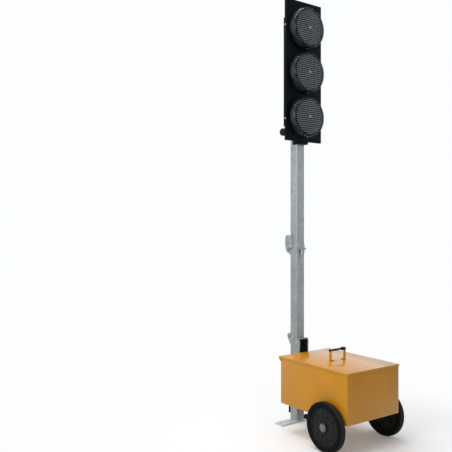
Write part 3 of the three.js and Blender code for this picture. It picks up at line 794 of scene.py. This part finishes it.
foot_beads = [bead((-half_tube, y, foot_top), (half_tube, y, foot_top)) for y in (front, back)]
foot_beads += [bead((x, front, foot_top), (x, back, foot_top)) for x in tube_sides]
bracket_beads = upright_beads("rear_bracket_lower", BRACKET_HALF, front)
bracket_beads += upright_beads("rear_bracket_upper", BRACKET_HALF, front)
weld_y = front + 22 * MM
cheek_beads = [bead((x, weld_y, CHEEK_WELD_LOW), (x, weld_y, CHEEK_WELD_HIGH)) for x in tube_sides]
welds("welds_chassis", "chassis", foot_beads + bracket_beads + cheek_beads)

lower_beads = upright_beads("lower_hinge_lug", half_tube - 1 * MM, front)
lower_beads += upright_beads("rest_block", 14 * MM, back)
lower_beads += upright_beads("middle_hinge_lug", half_tube - 4 * MM, back)
welds("welds_lower_mast", "lower_mast", [*lower_beads, lip_bead(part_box("lower_lip")[0].z)])

cheek_low, cheek_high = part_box("middle_cheek_left")
side_low, side_high = cheek_low.z + 22 * MM, cheek_high.z - 10 * MM
side_beads = [bead((x, cheek_low.y, side_low), (x, cheek_low.y, side_high)) for x in tube_sides]
welds("welds_upper_mast", "upper_mast", [*side_beads, lip_bead(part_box("upper_lip")[1].z)])

# %% [markdown]
# ## Fixings on the frame and the box
#
# Bolts and rivets go where a real maker would need them: through the brackets, the hinge plates,
# the catch and the hinge leaves. Their places are worked out from the boxes of those pieces.

# %% Fixings on the frame and the box
LEAF_FACE = 2.4 * MM
HANDLE_FOOT = 4.3 * MM


def both_sides(x, places, across):
    """Bolts on the faces at x and -x, at each (y, z)."""
    return [g for side in (-1, 1) for y, z in places for g in bolt("x", (side * x, y, z), across, side)]


bracket_places = []
for node in ("rear_bracket_lower", "rear_bracket_upper"):
    low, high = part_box(node)
    bracket_z = ((low + high) / 2).z
    bracket_places += [(low.y + 16 * MM, bracket_z), (high.y - 16 * MM, bracket_z)]
hanger_low, hanger_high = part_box("axle_hanger_right")
hanger_z = hanger_high.z - 9 * MM
hanger_places = [(hanger_low.y + 12 * MM, hanger_z), (hanger_high.y - 12 * MM, hanger_z)]
frame_bolts = both_sides(BRACKET_HALF, bracket_places, 10 * MM)
frame_bolts += both_sides(hanger_high.x, hanger_places, 8 * MM)

catch_low, catch_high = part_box("catch_base")
catch_plate = back + 3.3 * MM
catch_places = [
    (x, catch_plate, z)
    for x in (-16 * MM, 16 * MM)
    for z in (catch_low.z + 5 * MM, catch_high.z - 5 * MM)
]
catch_rivets = round_heads("y", catch_places, 2.6 * MM, 1.6 * MM)
leaf_low, leaf_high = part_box("lid_hinge_leaf_box")
leaf_run = np.linspace(leaf_low.y + 20 * MM, leaf_high.y - 20 * MM, 6)
box_places = [(leaf_low.x + LEAF_FACE, y, leaf_low.z + 14 * MM) for y in leaf_run]
box_rivets = round_heads("x", box_places, 3.4 * MM, 1.7 * MM)
fixings("fixings_chassis", "chassis", frame_bolts + catch_rivets + box_rivets)

lid_leaf_low, lid_leaf_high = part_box("lid_hinge_leaf_lid")
lid_places = [(lid_leaf_low.x + LEAF_FACE, y, lid_leaf_high.z - 8 * MM) for y in leaf_run]
fixings("fixings_lid", "lid", round_heads("x", lid_places, 3.4 * MM, 1.7 * MM))

grip_low, grip_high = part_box("handle_grip")
_, grip_y, grip_z = middle("handle_grip")
foot_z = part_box("lid")[1].z + HANDLE_FOOT
foot_places = [(x, grip_y, foot_z) for x in (-40 * MM, 40 * MM)]
foot_rivets = round_heads("z", foot_places, 3 * MM, 1.5 * MM)
dress(solid("handle_rivets", foot_rivets), "lid", YELLOW)

cap_low, cap_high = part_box("lower_hinge_cap")
cap_places = [(x, cap_low.y + 17 * MM, cap_high.z) for x in (-20 * MM, 20 * MM)]
fixings("fixings_lower_mast", "lower_mast", round_heads("z", cap_places, 4 * MM, 2.2 * MM))

cheek_places = [(cheek_low.y + 12 * MM, cheek_high.z - drop) for drop in (14 * MM, 44 * MM)]
fixings("fixings_upper_mast", "upper_mast", both_sides(-cheek_low.x, cheek_places, 10 * MM))

# %% [markdown]
# ## Hinge pins and the axle
#
# Each mast hinge turns on a bolt with a hexagon head on one end and a nut on the other. The axle
# is a plain bar with chamfered ends under the hub caps. All three are bars with filleted profiles.

# %% Hinge pins and the axle
def bar_profile(radius, start, end, chamfer):
    """From the axis out, along the bar and back to the axis, with small chamfers."""
    return [
        (0, start), (radius - chamfer, start), (radius, start + chamfer),
        (radius, end - chamfer), (radius - chamfer, end), (0, end),
    ]


def hinge_bolt(node, body):
    """A bar across the hinge with a hexagon on both ends."""
    low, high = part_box(node)
    centre = (0, *middle(node)[1:])
    head = 5 * MM
    grids = [turned(bar_profile(6 * MM, low.x + 1 * MM, high.x - 1 * MM, 0.5 * MM), "x", centre, 32)]
    for sign, end in ((-1, low.x + head), (1, high.x - head)):
        grids.append(hex_head("x", along("x", centre, end), 16 * MM, head, sign))
    dress(solid(f"{node}_bolt", grids), body, PLATED, [node])


hinge_bolt("lower_hinge_pin", "chassis")
hinge_bolt("middle_hinge_pin", "lower_mast")

axle_low, axle_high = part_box("axle")
axle_centre = (0, *middle("axle")[1:])
axle_bar = turned(bar_profile(10 * MM, axle_low.x, axle_high.x, 1.5 * MM), "x", axle_centre)
dress(solid("axle_bar", [axle_bar]), "chassis", PLATED, ["axle"])

pin_low, pin_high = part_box("lid_hinge_pin")
pin_x, _, pin_z = middle("lid_hinge_pin")
pin_centre = (pin_x, 0, pin_z)
pin_bar = turned(bar_profile(2.1 * MM, pin_low.y, pin_high.y, 0.6 * MM), "y", pin_centre, 20)
dress(solid("lid_hinge_wire", [pin_bar]), "chassis", PLATED, ["lid_hinge_pin"])
print("2 hinge bolts, the axle and the lid's hinge wire")

# %% [markdown]
# ## Wheels
#
# The tyre is solid rubber: flat across the tread, round at the shoulders, with a raised ring on
# the wall where the two halves of its mould met. The disc is one black moulding, stiffened by
# shallow radial ribs between hub and rim. Its face is a turned profile whose height also depends
# on the angle, so the ribs are part of the surface. A grey cap closes the hub.

# %% Wheels
RIBS = 10
HUB_CAP_CORNERS = np.array([(0, -1.5), (22, -1.5), (22, 1.2), (18, 3.2), (12, 3.9), (10, 3.2), (0, 3.2)])


def tyre_section(radius, half):
    """Closed section of the tyre with its bead, wall ring and shoulders, all filleted."""
    wall = [
        (radius - inward * MM, half - lower * MM)
        for inward, lower in (
            (34, 3), (24, 1.8), (23, 0.6), (16, 0.4), (15, 1.4), (7, 2.6), (1.5, 6.5), (0, 12),
        )
    ]
    other = [(r, -h) for r, h in reversed(wall)]
    return fillet(wall + other, 3.5 * MM, 5)


def ribbed_disc(half, outward, centre):
    """Closed profile of the wheel disc. Between hub and rim its faces stand out by
    3.5 mm * (0.5 + 0.5 cos(ribs * angle))^6 * sin(pi * share of the way from hub to rim)^0.5."""
    hub, rim = 27 * MM, 86 * MM
    web = np.linspace(hub, rim, 14)
    cone = np.linspace(12.5 * MM, 10.5 * MM, 14)
    face = [(10.4 * MM, half - 4 * MM), (24 * MM, half - 4 * MM), (26 * MM, half - 6 * MM), *zip(web, cone)]
    edge = [(88.5 * MM, half - 6 * MM), (91 * MM, half - 5 * MM), (95.5 * MM, half - 5 * MM)]
    inner_edge = [(95.5 * MM, -half + 5 * MM), (89 * MM, -half + 5 * MM)]
    inner = [*zip(web[::-1], -cone[::-1] + 3 * MM), (26 * MM, -half), (10.4 * MM, -half)]
    profile = np.array(face + edge + inner_edge + inner)
    angle = np.linspace(0, 2 * np.pi, 360, endpoint=False)[None, :]
    radius = profile[:, :1] + 0 * angle
    share = np.clip((radius - hub) / (rim - hub), 0, 1)
    is_web = (share > 0) & (share < 1) & (np.abs(profile[:, 1:]) < 12.6 * MM)
    rib = 3.5 * MM * (0.5 + 0.5 * np.cos(RIBS * angle)) ** 6 * np.sqrt(np.sin(np.pi * share))
    height = profile[:, 1:] + np.sign(profile[:, 1:]) * rib * is_web
    grid = np.stack((height * outward, radius * np.cos(angle), radius * np.sin(angle)), axis=-1)
    return grid + np.array(centre)


for side, outward in (("left", -1), ("right", 1)):
    low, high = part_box(f"tyre_{side}")
    centre = (low + high) / 2
    radius = (high.z - low.z) / 2
    half = (high.x - low.x) / 2
    body = f"wheel_{side}"
    tyre = solid(f"solid_tyre_{side}", [turned(tyre_section(radius, half), "x", centre, 128)])
    dress(tyre, body, TYRE, [f"tyre_{side}"])
    disc = solid(f"ribbed_disc_{side}", [ribbed_disc(half, outward, centre)])
    dress(disc, body, BLACK_PLASTIC, [f"wheel_disc_{side}"])
    cap_corners = HUB_CAP_CORNERS * MM + (0, half)
    cap_profile = fillet(cap_corners, 1.5 * MM, 3, closed=False) * (1, outward)
    cap = solid(f"moulded_cap_{side}", [turned(cap_profile, "x", centre, 48)])
    dress(cap, body, GREY_PLASTIC, [f"hub_cap_{side}"])
print("2 wheels, each a tyre, a ribbed disc and a cap")

# %% [markdown]
# ## Handle grip
#
# The grip is a slim moulded bar between the two painted uprights that swells next to one of them.
# It is one turned profile, and low waves along the bar keep fingers from sliding.

# %% Handle grip
def grip_profile(start, end):
    """Radius along the grip: end button, neck, bar with waves of 0.3 mm, swelling, neck, button."""
    inner, outer = 52.7 * MM, 57.3 * MM
    run = np.linspace(-inner + 2 * MM, inner - 30 * MM, 61)
    wave = 5.8 * MM + 0.3 * MM * np.cos(2 * np.pi * run / (12 * MM))
    button_corners = [(0, start), (7 * MM, start), (7 * MM, -outer), (5 * MM, -outer)]
    button = fillet(button_corners, 1.2 * MM, 3, closed=False)
    swell_corners = [
        (6 * MM, inner - 28 * MM), (9.6 * MM, inner - 22 * MM), (9.6 * MM, inner - 4 * MM),
        (6.6 * MM, inner), (5 * MM, inner),
    ]
    swelling = fillet(swell_corners, 4 * MM, 4, closed=False)
    other = button[::-1] * (1, -1)
    neck = [(5 * MM, -inner), (5.6 * MM, -inner)]
    return np.concatenate((button, neck, np.stack((wave, run), axis=1), swelling, other))


grip = solid("moulded_grip", [turned(grip_profile(grip_low.x, grip_high.x), "x", (0, grip_y, grip_z), 40)])
dress(grip, "lid", BLACK_PLASTIC, ["handle_grip"])
print("grip moulded")

# %% [markdown]
# ## Clamp knob
#
# The head slides on the mast and is held by a hand screw. Its knob is fluted so that a gloved hand
# can turn it: the radius of a turned profile swings by a tenth, eight times round, but only where
# the knob is wide, so the screw's shank stays round.

# %% Clamp knob
knob_low, knob_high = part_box("clamp_knob")
knob_centre = (knob_low.x, *middle("clamp_knob")[1:])


def fluted(count, depth, start):
    """Waves of 1 + depth * cos(count * angle) where the radius is over start, otherwise 1."""
    return lambda angle, radius: 1 + depth * np.cos(count * angle) * (radius > start)


knob_corners = np.array([
    (0, 1), (15, 1), (17, 0), (21, 2), (21.8, 8), (21.8, 24), (18, 31), (10, 33), (9, 46), (0, 46),
])
knob_profile = fillet(knob_corners * MM, 2.5 * MM, 4, closed=False)
knob_grid = turned(knob_profile, "x", knob_centre, 96, fluted(8, 0.05, 15 * MM))
knob = solid("fluted_knob", [knob_grid])
dress(knob, "clamp_knob", BLACK_PLASTIC, ["clamp_knob"])
shank_length = knob_high.x - knob_low.x
run = np.linspace(45 * MM, shank_length - 1 * MM, 150)
thread = 4.5 * MM + 0.3 * MM * np.cos(2 * np.pi * run / (1.6 * MM))
shank_profile = np.concatenate(([(0, run[0])], np.stack((thread, run), axis=1), [(0, run[-1])]))
shank = solid("knob_screw", [turned(shank_profile, "x", knob_centre, 24)])
dress(shank, "clamp_knob", PLATED)
print("knob and its screw")

# %% [markdown]
# ## Lock plunger
#
# A spring plunger under the lower lip locks the unfolded mast: a hexagon body with a round barrel,
# a pin that stands through both lips, and a split ring to pull it by. The ring is a circle carried
# round a circle.

# %% Lock plunger
barrel_low, barrel_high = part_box("plunger_barrel")
barrel_centre = (*middle("plunger_barrel")[:2], 0)
barrel_corners = [
    (3.4 * MM, barrel_low.z), (5.0 * MM, barrel_low.z), (5.3 * MM, barrel_low.z + 2 * MM),
    (5.3 * MM, barrel_high.z), (3.4 * MM, barrel_high.z),
]
barrel = turned(fillet(barrel_corners, 0.6 * MM, 3), "z", barrel_centre, 32)
nut_profile = [(3.4 * MM, 0), (6.6 * MM, 0), (6.6 * MM, 6 * MM), (3.4 * MM, 6 * MM)]
nut_base = along("z", barrel_centre, barrel_high.z - 6 * MM)


def nut_flats(angle, radius):
    """Six flats where the nut is wide, and a round bore."""
    return np.where(radius > 5 * MM, hexagon(angle) * 0.87, 1)


nut = turned(nut_profile, "z", nut_base, 48, nut_flats)
dress(solid("plunger_body", [barrel, nut]), "lower_mast", PLATED, ["plunger_barrel"])

pull_low, pull_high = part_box("plunger_pin")
RING_RADIUS, RING_WIRE = 11 * MM, 1.6 * MM
t = np.linspace(0, 2 * np.pi, 12, endpoint=False)
ring_section = np.stack((RING_RADIUS + RING_WIRE * np.cos(t), RING_WIRE * np.sin(t)), axis=1)
ring_centre = (barrel_centre[0], barrel_centre[1], pull_low.z + RING_RADIUS + RING_WIRE)
pull_ring = turned(ring_section, "y", ring_centre, 48)
pin_start = pull_low.z + 2 * RING_RADIUS + RING_WIRE
pin_rod = turned(bar_profile(2.9 * MM, pin_start, pull_high.z, 1 * MM), "z", barrel_centre, 24)
dress(solid("plunger_pull", [pull_ring, pin_rod]), "plunger", PLATED, ["plunger_pin"])
print("plunger body, pin and ring")

# %% [markdown]
# ## Cable gland
#
# The wiring leaves the box through a plastic gland: a hexagon against the wall and a ribbed dome
# nut. The ribs are flutes, as on the knob but finer.

# %% Cable gland
gland_x, _, gland_z = middle("cable_gland")
gland_centre = (gland_x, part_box("cable_gland")[0].y, gland_z)
gland_hex = hex_head("y", gland_centre, 23 * MM, 8 * MM, 1)
dome_corners = [
    (4 * MM, 7.5 * MM), (9.4 * MM, 7.5 * MM), (9.4 * MM, 14 * MM), (6 * MM, 20 * MM), (4 * MM, 20 * MM),
]
dome_profile = fillet(dome_corners, 2 * MM, 4)
gland_dome = turned(dome_profile, "y", gland_centre, 96, fluted(16, 0.02, 7 * MM))
gland_plug = domed_head("y", along("y", gland_centre, 12 * MM), 4.2 * MM, 4 * MM, 1)
gland = solid("moulded_gland", [gland_hex, gland_dome, gland_plug])
dress(gland, "chassis", BLACK_PLASTIC, ["cable_gland"])
print("gland moulded")

# %% [markdown]
# ## Lens units: seat and bucket
#
# Each signal is a round unit on the front plate. At the back is a black seat; inside it a bucket
# holds the prismatic plate by a flat retaining ring. Both are turned round the line of sight, from
# closed profiles, so each is a ring with real thickness.

# %% Lens seats and buckets
LENSES = ("lens_1", "lens_2", "lens_3")
PLATE_RADIUS = 106 * MM


def lens_frame(node):
    """Centre of the back of the unit on its own axis, and its reach towards the front."""
    seat_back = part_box(node.replace("lens", "lens_base"))[1].y
    x, _, z = middle(node)
    return np.array((x, seat_back, z)), seat_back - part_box(node)[0].y


SEAT_CORNERS = np.array([(60, 0), (120, 0), (120, 14), (116.5, 14), (112, 10), (112, 5), (60, 5)])
RING_CORNERS = np.array([
    (102, 50.5), (103, 52), (106.5, 51.5), (109.5, 49.5), (112, 9), (110, 9), (106.5, 47),
])
seat_profile = fillet(SEAT_CORNERS * MM, 2 * MM, 4) * (1, -1)
ring_profile = fillet(RING_CORNERS * MM, 0.8 * MM, 3) * (1, -1)
for node in LENSES:
    base = node.replace("lens", "lens_base")
    centre, _ = lens_frame(node)
    seat = solid(f"{node}_seat", [turned(seat_profile, "y", centre, 128)])
    dress(seat, "head", BLACK_PLASTIC, [base])
    bucket = solid(f"{node}_bucket", [turned(ring_profile, "y", centre, 128)])
    dress(bucket, "head", BLACK_PLASTIC)
print("3 seats and 3 buckets")

# %% [markdown]
# ## Lens units: prismatic plate
#
# The plate that spreads the light is a field of small square pillows in straight rows. Its height
# is a formula on a square grid: a shallow dome plus the product of two sine ridges, and the same
# product, stored on the mesh as an attribute, paints shade into the grooves as a near black. Only
# the squares inside the retaining ring are kept, so the ring hides the stepped edge. A small, paler
# flat boss marks the middle.

# %% Prismatic plates
PRISMS = 18
SAMPLES = 8
BOSS_HALF = 8.0 * MM


def prism_field(x, z):
    """Height = 49 mm + 4 mm (1 - (r / R)^2) + 0.5 mm |sin(n x)|^0.4 sin(n z)^2, and the groove mask,
    1 in a groove and 0 on a pillow, by which shade is painted into the grooves. The square makes the
    level grooves wide and the upright ones stay thin. Inside the boss the pillows give way to a flat
    square."""
    r2 = (x**2 + z**2) / PLATE_RADIUS**2
    wave = math.pi * PRISMS / (2 * PLATE_RADIUS)
    pillow = np.abs(np.sin(wave * x)) ** 0.4 * np.sin(wave * z) ** 2
    boss = (np.maximum(np.abs(x), np.abs(z)) < BOSS_HALF).astype(float)
    height = 49 * MM + 4 * MM * (1 - r2) + 0.5 * MM * np.maximum(pillow, boss)
    # The second value marks the grooves, where shade is painted into the plate's colour.
    return height, (1 - pillow) * (1 - boss), boss


def prismatic_plate(node):
    """Grid over a square, its cells kept where all four corners lie within the plate's radius."""
    centre, _ = lens_frame(node)
    count = PRISMS * SAMPLES + 1
    line = np.linspace(-PLATE_RADIUS, PLATE_RADIUS, count)
    x, z = np.meshgrid(line, line)
    height, groove_shade, boss = prism_field(x, z)
    points = np.stack((centre[0] + x, centre[1] - height, centre[2] + z), axis=-1).reshape(-1, 3)
    index = np.arange(count * count).reshape(count, count)
    corners = (index[:-1, :-1], index[:-1, 1:], index[1:, 1:], index[1:, :-1])
    faces = np.stack(corners, axis=-1).reshape(-1, 4)
    inside = (x**2 + z**2 < PLATE_RADIUS**2).ravel()
    faces = faces[inside[faces].all(axis=1)]
    used, faces = np.unique(faces, return_inverse=True)
    mesh = bpy.data.meshes.new(f"{node}_prisms")
    mesh.from_pydata(points[used].tolist(), [], faces.reshape(-1, 4).tolist())
    for name, values in (("groove_shade", groove_shade), ("boss", boss)):
        attribute = mesh.attributes.new(name, "FLOAT", "POINT")
        attribute.data.foreach_set("value", values.ravel()[used].astype(np.float32))
    mesh.shade_smooth()
    piece = linked(f"{node}_prisms", mesh)
    thickness = piece.modifiers.new("thickness", "SOLIDIFY")
    thickness.thickness = 1.5 * MM
    thickness.offset = -1
    return dress(piece, "head", PRISM)


for node in LENSES:
    plate = prismatic_plate(node)
print("3 plates,", len(plate.data.polygons), "faces each")

# %% [markdown]
# ## Lens units: smoky cover
#
# The cover is a smoky bowl: an upright wall, a round shoulder and a slightly domed face. It is one
# closed profile, outside and in, so light bends through two real surfaces. Its shoulder is what
# gives the unit its bright rim.

# %% Smoky covers
def bowl(radius, height, shoulder, rise, back):
    """Half profile from the back edge to the axis: wall, quarter circle, then a face whose height is
    height - rise * (r / r0)^2, where r0 is where the shoulder ends."""
    t = np.linspace(0, np.pi / 2, 12)
    level = height - rise
    across = radius - shoulder + shoulder * np.cos(t)
    up = level - shoulder + shoulder * np.sin(t)
    corner = np.stack((across, up), axis=1)
    r = np.linspace(radius - shoulder, 0, 16)[1:]
    face = np.stack((r, height - rise * (r / (radius - shoulder)) ** 2), axis=1)
    return np.concatenate(([(radius, back)], corner, face))


for node in LENSES:
    centre, reach = lens_frame(node)
    outside = bowl(119 * MM, reach, 20 * MM, 4 * MM, 14.6 * MM)
    inside = bowl(116.4 * MM, reach - 2.6 * MM, 17.4 * MM, 4 * MM, 14.6 * MM)
    profile = np.concatenate((outside, inside[::-1])) * (1, -1)
    cover = solid(f"{node}_cover", [turned(profile, "y", centre, 128)])
    dress(cover, "head", SMOKY, [node])
print("3 smoky covers")

# %% [markdown]
# ## Lens units: clips
#
# Small clips round the rim hold cover and seat together. Each is a block with rounded edges, made
# once about the origin and turned into place by a rotation about the line of sight.

# %% Lens clips
def rounded_block(half_x, half_y, half_z, radius):
    """Stacked filleted rectangles. At latitude a the outline draws in by radius (1 - cos a) and its
    height is the flat part's plus radius sin a. Poles close both ends."""
    latitude = np.linspace(-np.pi / 2, np.pi / 2, 8)
    rows = []
    for angle in latitude:
        inset = radius * (1 - np.cos(angle))
        x, y = half_x - inset, half_y - inset
        outline = fillet([(-x, -y), (x, -y), (x, y), (-x, y)], radius, 3)
        z = np.sign(angle) * (half_z - radius) + radius * np.sin(angle)
        rows.append(np.column_stack((outline, np.full(len(outline), z))))
    pole = np.zeros_like(rows[0])
    low_pole, high_pole = pole - (0, 0, half_z), pole + (0, 0, half_z)
    return np.stack([low_pole, *rows, high_pole])


def about_y(grid, angle, centre):
    """The grid turned by angle about Y, then moved to centre."""
    cos, sin = math.cos(angle), math.sin(angle)
    x, y, z = grid[..., 0], grid[..., 1], grid[..., 2]
    return np.stack((x * cos + z * sin, y, z * cos - x * sin), axis=-1) + centre


CLIPS = 6
CLIP_PLACE = (119.5 * MM, 20 * MM)
SCREW_PLACE = (119 * MM, 28.5 * MM)
clip = rounded_block(9 * MM, 9 * MM, 3 * MM, 1.5 * MM)
clips = []
clip_screws = []
for node in LENSES:
    centre, _ = lens_frame(node)
    for step in range(CLIPS):
        angle = 2 * math.pi * step / CLIPS
        outward = np.array((math.sin(angle), 0, math.cos(angle)))
        clip_at, screw_at = (
            centre + outward * radius - np.array((0, forward, 0))
            for radius, forward in (CLIP_PLACE, SCREW_PLACE)
        )
        clips.append(about_y(clip, angle, clip_at))
        clip_screws.append(domed_head("y", screw_at, 2.0 * MM, 1.4 * MM, -1))
dress(solid("lens_clips", clips), "head", BLACK_PLASTIC)
fixings("lens_clip_screws", "head", clip_screws)

# %% [markdown]
# ## Fixings on the head
#
# Bright screws hold the front plate's side flanges to the housing frame, and more go round the two
# halves of the housing. Bolts through the clamp hold it to the plate.

# %% Fixings on the head
CHANNEL_HALF = 34 * MM
plate_low, plate_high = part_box("backing_plate")
plate_y = middle("backing_plate")[1]
lens_heights = [lens_frame(node)[0][2] for node in LENSES]
flange_screws = [
    g for z in (lens_heights[0] - 16 * MM, lens_heights[2] + 7 * MM)
    for sign, x in ((-1, plate_low.x), (1, plate_high.x))
    for g in bolt("x", (x, plate_y, z), 7 * MM, sign)
]
house_low, house_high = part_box("housing")
half_middle = (house_high.x + CHANNEL_HALF) / 2
screw_spread = (house_high.x - CHANNEL_HALF) / 2 - 9 * MM
cover_places = [
    (x + dx, house_high.y, z)
    for x in (-half_middle, half_middle)
    for dx in (-screw_spread, screw_spread)
    for z in np.linspace(house_low.z + 16 * MM, house_high.z - 16 * MM, 5)
]
cover_screws = round_heads("y", cover_places, 3.5 * MM, 2 * MM)
clamp_bolt_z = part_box("sliding_clamp")[1].z - 14 * MM
clamp_bolts = both_sides(38 * MM, [(236 * MM, clamp_bolt_z)], 9 * MM)
fixings("fixings_head", "head", flange_screws + cover_screws + clamp_bolts)

# %% [markdown]
# ## Inside the box
#
# With the lid up, two sealed batteries and a charge controller show. Each battery gets a row of
# vent caps and a red and a black terminal collar.

# %% Inside the box
VENT_CAP_CORNERS = np.array([(0, 0), (11, 0), (11, 3), (8, 4), (0, 4)])
COLLAR_CORNERS = np.array([(9.3, 0), (14, 0), (12, 6), (9.3, 6)])
cap_section = fillet(VENT_CAP_CORNERS * MM, 1 * MM, 3, closed=False)
collar_section = fillet(COLLAR_CORNERS * MM, 1 * MM, 3)
for node in ("battery_1", "battery_2"):
    low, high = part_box(node)
    top = high.z - 14 * MM
    cap_run = np.linspace(-90 * MM, 90 * MM, 6)
    caps = [turned(cap_section, "z", (x, high.y - 40 * MM, top), 32) for x in cap_run]
    dress(solid(f"{node}_vent_caps", caps), "chassis", BATTERY_PLASTIC)
    for name, sign, material in (("red", 1, RED_PLASTIC), ("black", -1, BLACK_PLASTIC)):
        collar = turned(collar_section, "z", (sign * 125 * MM, low.y + 30 * MM, top), 32)
        dress(solid(f"{node}_{name}_collar", [collar]), "chassis", material)
print("caps and collars on 2 batteries")
